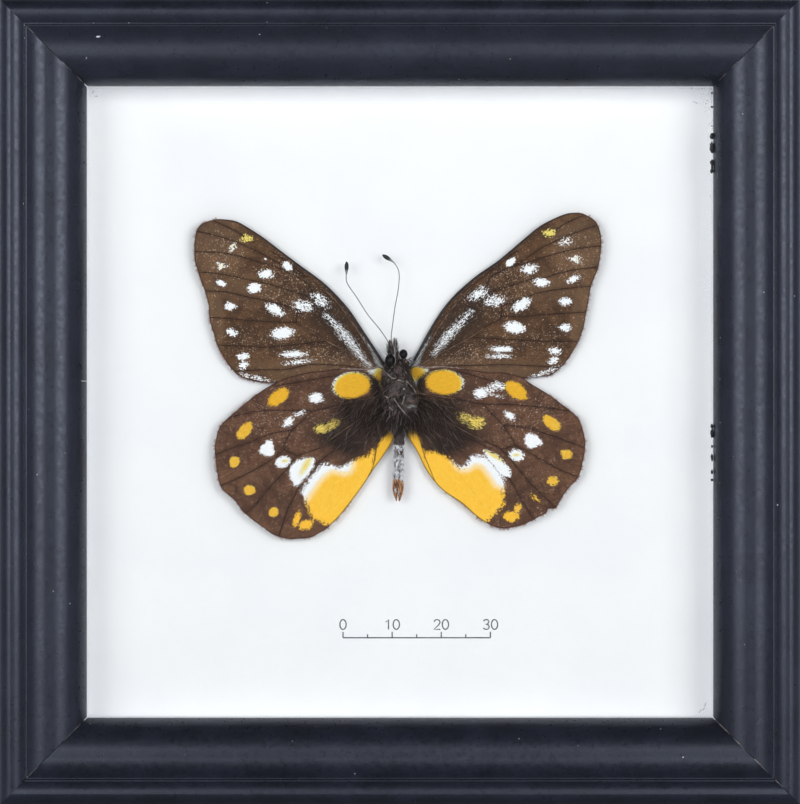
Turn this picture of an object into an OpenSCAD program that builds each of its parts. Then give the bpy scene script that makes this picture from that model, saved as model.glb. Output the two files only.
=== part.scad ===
// Butterfly display case: a square mitred shadow-box frame with a glass front,
// a white lined display space and one set butterfly, shown from below,
// closed at the back by a hardboard panel held with four turn buttons.
// +X is to the viewer's right, +Z is up, and the glass front faces -Y.
// The origin is under the middle of the case, on the surface that it stands on.

/* [Frame] */
// Outside width of the frame
frame_w = 160; // [140:1:240]
// Outside height of the frame
frame_h = 161; // [140:1:240]
// Width of the moulding, from the outer edge to the sight edge
rail_w = 17; // [16:0.5:20]
// Width of the rabbet behind the sight edge
rabbet_w = 5; // [4.9:0.1:6]
// Thickness of the lip in front of the glass, at its thinnest
lip_t = 1.2; // [0.8:0.1:2]

/* [Moulding] */
// Radius of the outer side of the bead
bead_outer_r = 2.5; // [2:0.1:3]
// Radius of the inner side of the bead
bead_inner_r = 3.4; // [3:0.1:4]
// Width of the inner side of the bead
bead_inner_w = 2.4; // [2:0.1:2.6]
// Width of the quirk between the bead and the fillet
quirk_w = 0.3; // [0.2:0.05:0.4]
// Radius of the fillet
fillet_r = 0.3; // [0.2:0.05:0.4]
// Width of the cove
cove_w = 4.2; // [3.8:0.1:4.4]
// Radius of the cove
cove_r = 6.3; // [5.5:0.1:8]
// Steepness of the ovolo where it meets the sight edge
ovolo_slope = 76; // [60:1:80]

/* [Glass and boards] */
// Depth of the display space between the mount board and the glass
display_depth = 7.4; // [7.2:0.1:20]
// Thickness of the glass
glass_t = 2; // [1.5:0.1:3]
// Thickness of the white mount board
mount_t = 3; // [1.5:0.1:4]
// Thickness of the back panel
back_t = 3; // [2:0.1:4]
// Thickness of the white strips that line the display space
spacer_t = 4.1; // [3:0.1:4.1]
// Play round the glass and the boards in the rabbet
pane_gap = 0.5; // [0.3:0.05:0.8]

/* [Back hardware] */
// Length of a turn button from its pivot to its tip
button_reach = 13; // [12:0.5:16]
// Width of a turn button
button_w = 8; // [6:0.5:9]
// Thickness of a turn button
button_t = 1.2; // [0.8:0.1:2]
// Distance of the pivots from the outer edge of the frame
button_inset = 6; // [5.5:0.1:7]
// Height between the upper and the lower turn buttons
button_pitch = 80; // [60:1:100]
// Radius of the shank of the button screws
screw_r = 1.4; // [1:0.05:1.6]
// Radius of the head of the button screws
screw_head_r = 2.9; // [2.5:0.1:3.2]
// Length of the button screws in the wood
screw_len = 9; // [6:0.5:12]
// Height of the screw heads
screw_head_h = 1.4; // [1:0.1:1.6]
// Free play above and below a turn button
button_play = 0.1; // [0.05:0.01:0.15]
// Radial clearance of the pivots
pivot_gap = 0.08; // [0.04:0.01:0.1]
// Length of each leg of the V nails in the corners
v_nail_leg = 5; // [4:0.5:6]
// Thickness of the V nails
v_nail_t = 0.5; // [0.4:0.05:0.8]
// Depth of the V nails in the wood
v_nail_depth = 7; // [5:0.5:9]
// Radius of the felt pads
pad_r = 4.8; // [4:0.1:4.8]
// Height of the felt pads
pad_h = 3.6; // [3.4:0.1:5]

/* [Hanger] */
// Radius of the wire of the hanging ring
ring_wire_r = 0.8; // [0.6:0.05:1]
// Radius of the bow of the hanging ring
ring_bow_r = 6.5; // [6:0.1:8]
// Length of the straight sides of the hanging ring
ring_side = 3; // [2:0.5:5]
// Thickness of the hanger strap
strap_t = 0.8; // [0.6:0.05:1]
// Width of the hanger strap
strap_w = 8; // [6:0.5:10]
// Distance of the hanger's pivot from the upper edge of the back panel
strap_drop = 14; // [12:0.5:20]
// Radius of the shank of the hanger's rivet
rivet_r = 1.3; // [1:0.05:1.6]
// Radius of the head of the hanger's rivet
rivet_head_r = 2.5; // [2:0.1:3]

/* [Specimen] */
// Place of the specimen to the right of the middle of the board
specimen_x = -0.5; // [-10:0.5:10]
// Height of the wing roots over the middle of the board
specimen_rise = 3.5; // [-10:0.5:10]
// Largest radius of the thorax
thorax_r = 3; // [2.8:0.1:3.1]
// Thickness of the glue under the thorax
glue_t = 0.3; // [0.2:0.1:0.5]
// Thickness of a wing
wing_t = 0.2; // [0.15:0.05:0.4]
// Height of the forewings over the board
forewing_lift = 1.1; // [0.9:0.1:1.3]
// Gap between a forewing and the hindwing that laps it
wing_gap = 0.3; // [0.2:0.05:0.5]
// Turn of the left forewing against the right one
forewing_turn = 1.2; // [-4:0.1:4]
// Turn of the left hindwing against the right one
hindwing_turn = 3; // [-4:0.1:4]
// Radius of the abdomen
abdomen_r = 1.1; // [0.9:0.05:1.2]
// Radius of the head
head_r = 1.8; // [1.6:0.05:1.9]
// Radius of the eyes
eye_r = 1; // [0.8:0.05:1.1]
// Radius of the shaft of an antenna
antenna_r = 0.09; // [0.07:0.01:0.15]
// Radius of the club of an antenna
club_r = 0.4; // [0.3:0.01:0.5]
// Radius of a leg
leg_r = 0.13; // [0.1:0.01:0.16]

/* [Hidden] */

$fn = 48;
// Small overrun that lets a cutter pass the face it cuts
over = 1;

// Depth below a circle's crest at a distance across from it
function sag(r, across) = r - sqrt(r * r - across * across);

// Places across the moulding, measured from the outer edge to the sight edge
quirk_u = bead_outer_r + bead_inner_w;
fillet_u = quirk_u + quirk_w + fillet_r;
cove_u = fillet_u + fillet_r / 2;
ovolo_u = cove_u + cove_w;
ovolo_w = rail_w - ovolo_u;
ovolo_r = ovolo_w / sin(ovolo_slope);
rabbet_u = rail_w - rabbet_w;

// Places along the depth, measured from the back of the frame to the front
mount_front_v = back_t + mount_t;
glass_back_v = mount_front_v + display_depth;
glass_front_v = glass_back_v + glass_t;
sight_v = glass_front_v + lip_t;
ovolo_v = sight_v + sag(ovolo_r, ovolo_w);
cove_v = ovolo_v + sag(cove_r, cove_w);
fillet_v = cove_v + 0.15 * fillet_r;
quirk_v = fillet_v - fillet_r;
frame_depth = fillet_v + 2 * fillet_r / 3 + sag(bead_inner_r, bead_inner_w);

// The frame's back and front along Y, with the felt pads counted in the depth
back_y = (frame_depth - pad_h) / 2;
board_y = back_y - mount_front_v;

// Outside sizes of what lies in the rabbet
pane_w = frame_w - 2 * rabbet_u - 2 * pane_gap;
pane_h = frame_h - 2 * rabbet_u - 2 * pane_gap;
mid_z = frame_h / 2;

// Radius of the dome that rises by a height over a rim
function dome_r(rim_r, height) = (rim_r * rim_r + height * height) / (2 * height);

// Smooth curve through points: one span, an open line and a closed loop
function span(a, b, c, d, t) =
    0.5 * (2 * b + (c - a) * t + (2 * a - 5 * b + 4 * c - d) * t * t + (3 * b - a - 3 * c + d) * t * t * t);
function smooth_line(p, n) = [
    for (i = [0 : len(p) - 2])
        for (j = [0 : n - 1])
            span(p[max(i - 1, 0)], p[i], p[i + 1], p[min(i + 2, len(p) - 1)], j / n),
    p[len(p) - 1],
];
function smooth_loop(p, n) = [
    for (i = [0 : len(p) - 1])
        for (j = [0 : n - 1])
            span(p[(i + len(p) - 1) % len(p)], p[i], p[(i + 1) % len(p)], p[(i + 2) % len(p)], j / n),
];
function unit(v) = v / norm(v);

// A round tube along a line of points, with its own radius at each point
module tube(line, radii, sides = 8) {
    last = len(line) - 1;
    rings = [
        for (i = [0 : last])
            let (
                ahead = unit(line[min(i + 1, last)] - line[max(i - 1, 0)]),
                side = unit(cross(ahead, [0, 1, 0])),
                up = cross(side, ahead)
            )
            for (k = [0 : sides - 1])
                line[i] + radii[i] * (cos(360 * k / sides) * side + sin(360 * k / sides) * up),
    ];
    skin = [
        for (i = [0 : last - 1])
            for (k = [0 : sides - 1])
                let (a = i * sides + k, b = i * sides + (k + 1) % sides)
                each [[a, a + sides, b], [b, a + sides, b + sides]],
    ];
    start_cap = [for (k = [1 : sides - 2]) [0, k, k + 1]];
    end_cap = [for (k = [1 : sides - 2]) [last * sides, last * sides + k + 1, last * sides + k]];
    polyhedron(rings, concat(skin, start_cap, end_cap));
}

// A block of the section from one place across to another, up to a height
module section_block(from_u, to_u, top_v) {
    translate([from_u, glass_front_v]) square([to_u - from_u, top_v - glass_front_v]);
}

// The part of a circle inside a block that is level with it
module section_round(from_u, to_u, low_v, centre, r) intersection() {
    translate([from_u, low_v]) square([to_u - from_u, frame_depth - low_v]);
    translate(centre) circle(r, $fn = 96);
}

// Section of the moulding: X is the distance in from the outer edge, Y the height from the back
module moulding_section() {
    outer_v = frame_depth - bead_outer_r;
    inner_v = frame_depth - bead_inner_r;
    // Wood beside the rabbet
    square([rabbet_u, glass_front_v]);
    // Bead along the outer edge, rounder outside than inside
    section_block(0, bead_outer_r, outer_v);
    section_round(0, bead_outer_r, outer_v, [bead_outer_r, outer_v], bead_outer_r);
    section_block(bead_outer_r, quirk_u, inner_v);
    section_round(bead_outer_r, quirk_u, inner_v, [bead_outer_r, inner_v], bead_inner_r);
    // Quirk, and the fillet beside it
    section_block(quirk_u, fillet_u, quirk_v);
    section_block(fillet_u, cove_u, quirk_v);
    translate([fillet_u, quirk_v]) circle(fillet_r);
    // Cove that falls from the fillet, level at its foot
    difference() {
        section_block(cove_u, ovolo_u, cove_v);
        translate([ovolo_u, ovolo_v + cove_r]) circle(cove_r, $fn = 96);
    }
    // Ovolo that rolls over to the sight edge, with the lip under it
    section_block(ovolo_u, rail_w, sight_v);
    section_round(ovolo_u, rail_w, sight_v, [ovolo_u, ovolo_v - ovolo_r], ovolo_r);
}

// One mitred rail lying along X, its outer edge on Z = 0 and its back on Y = 0
module rail(length) {
    color("#26272d")
    intersection() {
        rotate([180, -90, 0]) linear_extrude(length + 2 * over, center = true) moulding_section();
        rotate([90, 0, 0]) translate([0, 0, -over]) linear_extrude(frame_depth + 2 * over) polygon([
            [-length / 2 - over, -over],
            [length / 2 + over, -over],
            [length / 2 - rail_w - over, rail_w + over],
            [-length / 2 + rail_w + over, rail_w + over],
        ]);
    }
}

// Cuts in the rails for the fasteners
module rail_cuts() {
    corner_v_nails();
    button_places() rotate([90, 0, 0]) translate([0, 0, -over]) cylinder(r = screw_r, h = screw_len + over);
}

module rail_bottom() difference() {
    translate([0, back_y, 0]) rail(frame_w);
    rail_cuts();
}

module rail_top() difference() {
    translate([0, back_y, frame_h]) rotate([0, 180, 0]) rail(frame_w);
    rail_cuts();
}

module rail_left() difference() {
    translate([-frame_w / 2, back_y, mid_z]) rotate([0, 90, 0]) rail(frame_h);
    rail_cuts();
}

module rail_right() difference() {
    translate([frame_w / 2, back_y, mid_z]) rotate([0, -90, 0]) rail(frame_h);
    rail_cuts();
}

// A V of thin steel pressed into the back of each mitre, its point towards the opening
module v_nail() {
    for (side = [0, 1])
        mirror([side, 0, 0]) rotate([90, 45, 0]) translate([-v_nail_t / 2, 0, 0])
            cube([v_nail_t, v_nail_leg, v_nail_depth]);
}

module corner_v_nails() {
    mitre_mid = rabbet_u / 2 + v_nail_leg / 3;
    color("#a8a9a4")
    for (right = [0, 1], top = [0, 1])
        translate([0, back_y, mid_z]) mirror([right, 0, 0]) mirror([0, 0, top])
            translate([-frame_w / 2 + mitre_mid, 0, -frame_h / 2 + mitre_mid])
                rotate([0, -135, 0]) v_nail();
}

// A plate that fills the rabbet, from one height over the frame's back to another
module rabbet_plate(v, thick) {
    translate([-pane_w / 2, back_y - v - thick, mid_z - pane_h / 2]) cube([pane_w, thick, pane_h]);
}

module glass_pane() color("#dfeaec", 0.3) rabbet_plate(glass_back_v, glass_t);

module mount_board() color("#f7f8fa") rabbet_plate(back_t, mount_t);

module back_panel() color("#8a6a4a") difference() {
    rabbet_plate(0, back_t);
    hanger_place() translate([0, over, -rivet_z]) rotate([90, 0, 0])
        cylinder(r = rivet_r, h = back_t + 2 * over);
}

// White strips that hold the glass off the mount board
module spacer(x, z, w, h) {
    color("#f2f3f5") translate([x, back_y - glass_back_v, z]) cube([w, display_depth, h]);
}
pane_x = -pane_w / 2;
pane_z = mid_z - pane_h / 2;
module spacer_top() spacer(pane_x, pane_z + pane_h - spacer_t, pane_w, spacer_t);
module spacer_bottom() spacer(pane_x, pane_z, pane_w, spacer_t);
module spacer_left() spacer(pane_x, pane_z + spacer_t, spacer_t, pane_h - 2 * spacer_t);
module spacer_right() spacer(pane_x + pane_w - spacer_t, pane_z + spacer_t, spacer_t, pane_h - 2 * spacer_t);

// Puts its children at one pivot of a turn button, or at all four
module button_place(right, upper) {
    translate([(right ? 1 : -1) * (frame_w / 2 - button_inset), back_y, mid_z + (upper ? 0.5 : -0.5) * button_pitch])
        children();
}
module button_places() for (right = [false, true], upper = [false, true]) button_place(right, upper) children();

// A flat steel button, tongue over the back panel, that swivels on its screw
module turn_button(right, upper) {
    color("#b9bab6")
    button_place(right, upper) mirror([right ? 1 : 0, 0, 0])
        rotate([-90, 0, 0]) translate([0, 0, button_play]) difference() {
            union() {
                cylinder(d = button_w, h = button_t);
                translate([0, -button_w / 2, 0]) cube([button_reach - button_w / 2, button_w, button_t]);
                translate([button_reach - button_w / 2, 0, 0]) cylinder(d = button_w, h = button_t);
            }
            translate([0, 0, -over]) cylinder(r = screw_r + pivot_gap, h = button_t + 2 * over);
        }
}
module turn_button_left_upper() turn_button(false, true);
module turn_button_left_lower() turn_button(false, false);
module turn_button_right_upper() turn_button(true, true);
module turn_button_right_lower() turn_button(true, false);

// A flat round head with a cross recess
module cross_head(head_r, head_h) {
    edge_h = head_h * 0.45;
    difference() {
        union() {
            cylinder(r = head_r, h = edge_h);
            translate([0, 0, edge_h]) cylinder(r1 = head_r, r2 = head_r * 0.6, h = head_h - edge_h);
        }
        for (turn = [0, 90])
            rotate(turn) translate([-head_r / 2, -head_r / 10, head_h / 2]) cube([head_r, head_r / 5, head_h]);
    }
}

module turn_button_screws() {
    seat_h = button_t + 2 * button_play;
    tip = 2 * screw_r;
    color("#c9c4b0")
    button_places() rotate([-90, 0, 0]) {
        translate([0, 0, seat_h]) cross_head(screw_head_r, screw_head_h);
        translate([0, 0, tip - screw_len]) cylinder(r = screw_r, h = screw_len - tip + seat_h);
        translate([0, 0, -screw_len]) cylinder(r1 = screw_r / 8, r2 = screw_r, h = tip);
    }
}

// The hanger's pivot, over the middle of the back panel, far enough out for the ring to clear the strap
strap_loop_r = ring_wire_r + pivot_gap + strap_t;
pivot_out = strap_t + ring_wire_r + 0.3;
ring_reach = ring_side + ring_bow_r + ring_wire_r;
rivet_z = ring_reach + rivet_head_r + 0.6;
strap_len = rivet_z + rivet_head_r + 0.8;
module hanger_place() translate([0, back_y, pane_z + pane_h - strap_drop]) children();

module hanger_strap() {
    color("#c2a866")
    hanger_place() difference() {
        union() {
            translate([-strap_w / 2, pivot_out, 0]) rotate([0, 90, 0]) cylinder(r = strap_loop_r, h = strap_w);
            translate([-strap_w / 2, 0, -strap_len]) cube([strap_w, strap_t, strap_len]);
        }
        translate([-strap_w / 2 - over, pivot_out, 0]) rotate([0, 90, 0])
            cylinder(r = ring_wire_r + pivot_gap, h = strap_w + 2 * over);
        translate([0, -over, -rivet_z]) rotate([-90, 0, 0]) cylinder(r = rivet_r, h = strap_t + 2 * over);
    }
}

// A wire ring with a straight bar on the pivot, two straight sides and a round bow
module hanger_ring() {
    color("#c9ad62")
    hanger_place() translate([0, pivot_out, 0]) {
        translate([-ring_bow_r, 0, 0]) rotate([0, 90, 0]) cylinder(r = ring_wire_r, h = 2 * ring_bow_r);
        for (side = [-1, 1])
            translate([side * ring_bow_r, 0, 0]) {
                sphere(ring_wire_r);
                rotate([180, 0, 0]) cylinder(r = ring_wire_r, h = ring_side);
            }
        translate([0, 0, -ring_side]) rotate([90, 0, 0]) rotate([0, 0, 180])
            rotate_extrude(angle = 180) translate([ring_bow_r, 0]) circle(ring_wire_r);
    }
}

module hanger_rivet() {
    dome_h = rivet_head_r * 0.4;
    color("#b49a58")
    hanger_place() translate([0, 0, -rivet_z]) rotate([-90, 0, 0]) {
        translate([0, 0, strap_t]) intersection() {
            translate([0, 0, dome_h - dome_r(rivet_head_r, dome_h)]) sphere(dome_r(rivet_head_r, dome_h));
            cylinder(r = rivet_head_r, h = dome_h);
        }
        translate([0, 0, -back_t]) cylinder(r = rivet_r, h = back_t + strap_t);
    }
}

// Felt pads that keep the lower corners of the back off a wall
module wall_pads() {
    color("#2f2f31")
    for (side = [-1, 1])
        translate([side * (frame_w / 2 - 3 * pad_r), back_y, rabbet_u / 2]) rotate([-90, 0, 0])
            cylinder(r = pad_r, h = pad_h);
}

// The specimen's own axes: X and Z as the case's, and Y = 0 on the mount board
module on_board() translate([specimen_x, board_y, mid_z + specimen_rise]) children();

// The body's long axis stands this far off the board
body_lift = glue_t + thorax_r;
thorax_x = 0.5;
thorax_top = 3.9;
thorax_foot = -9.2;
thorax_mid = -2.8;

// Radius of the thorax at a height
function thorax_radius(z) =
    let (half = z > thorax_mid ? thorax_top - thorax_mid : thorax_mid - thorax_foot, t = abs(z - thorax_mid) / half)
    thorax_r * sqrt(max(0, 1 - pow(t, 2.4)));

module thorax_solid() {
    steps = 22;
    profile = [
        for (i = [0 : steps])
            let (z = (thorax_foot + thorax_top) / 2 - (thorax_top - thorax_foot) / 2 * cos(180 * i / steps))
            [thorax_radius(z), z],
    ];
    translate([thorax_x, -body_lift, 0]) rotate_extrude() polygon(profile);
}

head_at = [-0.2, -body_lift, 5.5];
eyes_at = [[-1.65, -body_lift - 0.5, 5], [1.2, -body_lift - 0.5, 6.3]];

module head_solid() translate(head_at) rotate([0, 0, 90]) sphere(head_r);
module eye_solids() for (at = eyes_at) translate(at) sphere(eye_r);

module thorax() color("#3a3331") on_board() difference() {
    thorax_solid();
    head_solid();
    eye_solids();
}

module head() color("#3d3634") on_board() difference() {
    head_solid();
    eye_solids();
}

module eyes() color("#17161a") on_board() eye_solids();

module glue_dot() color("#e8e4d8") on_board() difference() {
    translate([thorax_x, 0, thorax_mid]) rotate([90, 0, 0]) cylinder(r = thorax_r * 0.6, h = 2 * glue_t);
    thorax_solid();
}

// The abdomen hangs from the thorax, ringed by its segments, and ends in two claspers
abdomen_len = 11.4;
abdomen_segments = 7;
abdomen_top = [0.45, -body_lift, -8.4];
abdomen_tilt = [4, 1.8, 0];
clasper_len = 4.2;

module at_abdomen() translate(abdomen_top) rotate(abdomen_tilt) children();

module abdomen() {
    steps = 4 * abdomen_segments;
    profile = [
        for (i = [0 : steps])
            let (t = i / steps)
            [abdomen_r * (0.92 + 0.1 * abs(sin(180 * abdomen_segments * t))) * (1.08 - 0.12 * t), -abdomen_len * t],
    ];
    color("#8d8a88") on_board() difference() {
        at_abdomen() rotate_extrude() polygon(concat([[0, 0]], profile, [[0, -abdomen_len]]));
        thorax_solid();
    }
}

module claspers() {
    r = abdomen_r * 0.5;
    profile = [for (i = [0 : 8]) [r * sqrt(max(0, 1 - pow(i / 8, 2.5))), -clasper_len * i / 8]];
    color("#a8693a") on_board() at_abdomen() for (side = [-1, 1])
        translate([side * r, 0, -abdomen_len]) rotate_extrude($fn = 24) polygon(concat([[0, 0]], profile));
}

// Two brushes of scales in front of the head
module palps() {
    palp_line = [[-0.7, 0, 6.6], [-0.9, 0, 8], [-0.75, 0, 9.7]];
    color("#4a423e") on_board() difference() {
        for (side = [0, 1])
            translate([side * 1.05 - 0.45, -body_lift - 0.7, 0])
                tube(smooth_line(palp_line, 4), [for (i = [0 : 8]) 0.5 - 0.4 * pow(i / 8, 2)]);
        head_solid();
        eye_solids();
    }
}

// Antennae, from inside the brow out to a club: each point is X, Y and Z
antenna_left_line = [
    [-0.9, -3, 6.2], [-1.4, -3, 7.4], [-2, -3.1, 8.9], [-3.6, -3.2, 11.3], [-6.7, -3.3, 15.2], [-9.3, -3.3, 19.3],
    [-10.3, -3.3, 21.3], [-10.5, -3.3, 22.7], [-10.4, -3.3, 25.3],
];
antenna_right_line = [
    [-0.4, -3, 6.2], [-0.9, -3, 7.6], [-1.3, -3.1, 9.5], [-1, -3.2, 13.1], [-0.2, -3.4, 18.2], [0.3, -3.4, 22.5],
    [0.1, -3.4, 24], [-0.9, -3.4, 25.2], [-3.1, -3.4, 26.6],
];

module antenna(line) {
    steps = 5;
    curve = smooth_line(line, steps);
    club_steps = 2 * steps;
    radii = [
        for (i = [0 : len(curve) - 1])
            let (t = (i - len(curve) + 1 + club_steps) / club_steps)
            t <= 0 ? antenna_r : antenna_r + (club_r - antenna_r) * pow(sin(180 * pow(t, 1.6)), 1.1) * (t < 1 ? 1 : 0),
    ];
    color("#2b2624") on_board() difference() {
        tube(curve, radii);
        head_solid();
    }
}
module antenna_left() antenna(antenna_left_line);
module antenna_right() antenna(antenna_right_line);

// Legs folded over the thorax: each point rests on the thorax at its X and Z
leg_lines = [
    [[-2.6, 2.6], [-1.6, 1.9], [-0.4, 1.2], [1.2, 0.6]],
    [[1.9, 0.7], [2.6, 0.2], [3.2, -0.8], [3.5, -2], [3.4, -3.6]],
    [[-0.7, -2.7], [0.1, -3.9], [0.9, -5.2], [1.8, -6.6]],
    [[1.4, -2.6], [1.2, -3.4], [1, -4]],
];
function on_thorax(x, z) =
    [x, -body_lift - sqrt(max(0.2, pow(thorax_radius(z), 2) - pow(x - thorax_x, 2))) - leg_r, z];

module legs() color("#6f6764") on_board() difference() {
    for (line = leg_lines) {
        curve = smooth_line(line, 4);
        tube([for (p = curve) on_thorax(p.x, p.y)], [for (p = curve) leg_r], 6);
    }
    thorax_solid();
}

// Wing outlines of the right side, as X and Z from the middle of the wing roots
forewing_line = [
    [2.4, 3.4], [4.3, 6.9], [6.6, 11], [10.3, 16.1], [15.6, 21.3], [21.9, 26.1], [27.7, 31.1],
    [33.4, 34.6], [37.6, 35.3], [40.6, 34], [42, 30.6], [41.8, 27.1], [40.7, 22.2], [39.2, 17.4],
    [38.8, 12.9], [37.2, 8.3], [34.3, 3.7], [31.4, 1.9], [26.5, 1.3], [14, 1.2], [4.5, 0.4], [0.9, -1],
    [0.7, 1.8],
];
hindwing_line = [
    [2.6, 1.5], [5.2, 3.4], [9.2, 3.7], [15.6, 2.9], [21.7, 2.4], [26, 1.2], [31.1, -2], [36.2, -6],
    [38.2, -9.4], [38.6, -13.2], [37.8, -17.4], [36, -20.5], [33.4, -24], [30.3, -26.9], [25.9, -28.9],
    [20.6, -29.5], [16.7, -27.7], [12.1, -23.7], [7.8, -20.2], [4.3, -14.2], [1.6, -8.6], [1.2, -5],
    [0.9, -1],
];
wing_root = [2.7, 2];

module wing(line, lift, left, turn) {
    color("#4a352a") on_board() difference() {
        mirror([left ? 1 : 0, 0, 0])
            translate([wing_root.x, -lift, wing_root.y]) rotate([90, left ? turn : 0, 0])
                linear_extrude(wing_t) polygon([for (p = smooth_loop(line, 4)) p - wing_root]);
        thorax_solid();
        abdomen_shadow();
    }
}

// Room for the abdomen between the hindwings
module abdomen_shadow() at_abdomen() rotate([180, 0, 0]) cylinder(r = abdomen_r * 1.2, h = abdomen_len);

hindwing_lift = forewing_lift + wing_t + wing_gap;
module forewing_left() wing(forewing_line, forewing_lift, true, forewing_turn);
module forewing_right() wing(forewing_line, forewing_lift, false, 0);
module hindwing_left() wing(hindwing_line, hindwing_lift, true, hindwing_turn);
module hindwing_right() wing(hindwing_line, hindwing_lift, false, 0);

rail_top();
rail_bottom();
rail_left();
rail_right();
corner_v_nails();
glass_pane();
spacer_top();
spacer_bottom();
spacer_left();
spacer_right();
mount_board();
back_panel();
turn_button_left_upper();
turn_button_left_lower();
turn_button_right_upper();
turn_button_right_lower();
turn_button_screws();
hanger_strap();
hanger_ring();
hanger_rivet();
wall_pads();
glue_dot();
thorax();
abdomen();
claspers();
head();
eyes();
palps();
legs();
antenna_left();
antenna_right();
forewing_left();
forewing_right();
hindwing_left();
hindwing_right();
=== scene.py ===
import math

import bpy
import numpy as np
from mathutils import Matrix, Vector, noise
from mathutils.geometry import delaunay_2d_cdt


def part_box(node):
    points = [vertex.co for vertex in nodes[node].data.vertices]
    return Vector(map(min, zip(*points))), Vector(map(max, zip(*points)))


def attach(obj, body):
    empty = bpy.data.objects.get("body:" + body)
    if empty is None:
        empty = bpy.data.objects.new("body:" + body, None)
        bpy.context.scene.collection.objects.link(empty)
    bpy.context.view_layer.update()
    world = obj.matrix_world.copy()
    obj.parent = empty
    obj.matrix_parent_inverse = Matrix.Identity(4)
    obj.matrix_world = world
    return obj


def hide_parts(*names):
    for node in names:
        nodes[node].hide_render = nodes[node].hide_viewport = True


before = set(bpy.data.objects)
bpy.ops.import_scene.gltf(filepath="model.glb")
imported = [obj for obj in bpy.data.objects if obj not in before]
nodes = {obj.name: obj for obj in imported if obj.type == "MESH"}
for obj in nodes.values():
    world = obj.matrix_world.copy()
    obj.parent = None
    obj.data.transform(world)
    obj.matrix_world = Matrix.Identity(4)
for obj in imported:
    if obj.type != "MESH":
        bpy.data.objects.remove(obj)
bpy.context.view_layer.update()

MM = 0.001


def node_box(name):
    """Lowest and highest corner of a CAD node, in millimetres."""
    low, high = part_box(name)
    return np.array(low) / MM, np.array(high) / MM


# Planes of the case, in millimetres
front_y = node_box("rail_top")[0][1]
board_y = node_box("mount_board")[0][1]
glass_front_y = node_box("glass_pane")[0][1]
mid_z = (node_box("rail_bottom")[0][2] + node_box("rail_top")[1][2]) / 2
case_half_wide = node_box("rail_top")[1][0]
case_half_tall = node_box("rail_top")[1][2] - mid_z
rail_wide = node_box("rail_bottom")[1][2]
sight_half = case_half_wide - rail_wide

# The specimen's own axes: X and Z from the middle of the wing roots, lift from the mount board
SPECIMEN_X = -0.5
SPECIMEN_RISE = 3.5
SPECIMEN_SCALE = 0.991
BODY_LIFT = 3.3
FOREWING_LIFT = 1.1
HINDWING_LIFT = 1.6
WING_LENGTH = 42
ROOT_REACH = 12
GRAIN_RADIUS = 22
TIP_RISE = 1.2
WING_THICKNESS = 0.12

# Spacing of the points on a wing, and the room they keep from its margin and from its veins
WING_PITCH = 0.27
MARGIN_ROOM = 0.16
VEIN_ROOM = 0.15
VEIN_END_ROOM = 0.14

# A hair has rings of points at these shares of its length, and its tip is thinner by the taper
HAIR_LEVELS = np.array([0, 0.35, 0.7, 1.0])
HAIR_SIDES = 3
HAIR_TAPER = 0.85

# Numbers of hairs, of scales in tufts and of grains of dust
THORAX_HAIRS = 2100
ROOT_HAIRS = 760
BASE_HAIRS = 230
HEAD_HAIRS = 520
EYE_HAIRS = 70
PALP_HAIRS = 330
ABDOMEN_TUFTS = 820
RIGHT_GRAINS = 110
TOP_GRAINS = 34

# The camera stands straight in front, and its picture is a little narrower than the case
CAMERA_DISTANCE = 800
PICTURE_WIDTH = 159.1
SENSOR = 36

# Lamps: name, azimuth and elevation in degrees, distance and size in metres, and watts
LAMPS = (
    ("softbox_left", -30, 6, 0.95, 0.45, 2.5),
    ("fill_left", -19, 5, 1.1, 0.45, 1.75),
    ("softbox_right", 30, 6, 0.95, 0.45, 2.9),
    ("fill_right", 19, 5, 1.1, 0.45, 1.75),
    ("back_panel_light", 152, 38, 1.1, 0.6, 3.0),
)
LAMP_COLOUR = (1.0, 0.985, 0.95)
ROOM_COLOUR = (0.87, 0.89, 1.0, 1)
WALL_GLEAM = 0.75


class Nodes:
    """A node tree under construction, with short ways to add and join its nodes."""

    def __init__(self, tree):
        self.tree = tree

    def add(self, kind, inputs=(), **settings):
        node = self.tree.nodes.new(kind)
        for key, value in settings.items():
            setattr(node, key, value)
        for key, value in dict(inputs).items():
            self.put(value, node.inputs[key])
        return node

    def put(self, value, socket):
        if isinstance(value, bpy.types.NodeSocket):
            self.tree.links.new(value, socket)
        else:
            socket.default_value = value

    def math(self, operation, a, b=0.0, c=0.0):
        return self.add("ShaderNodeMath", {0: a, 1: b, 2: c}, operation=operation).outputs[0]

    def sum(self, a, b):
        return self.math("ADD", a, b)

    def product(self, a, b):
        return self.math("MULTIPLY", a, b)

    def fade(self, value, low, high, to_low=0.0, to_high=1.0):
        """A smooth step from one value to another while the input goes from low to high."""
        inputs = {"Value": value, "From Min": low, "From Max": high, "To Min": to_low, "To Max": to_high}
        return self.add("ShaderNodeMapRange", inputs, interpolation_type="SMOOTHSTEP").outputs["Result"]

    def vary(self, pattern, low, high):
        """A pattern between 0 and 1, brought smoothly to another range."""
        return self.fade(pattern, 0, 1, low, high)


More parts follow.
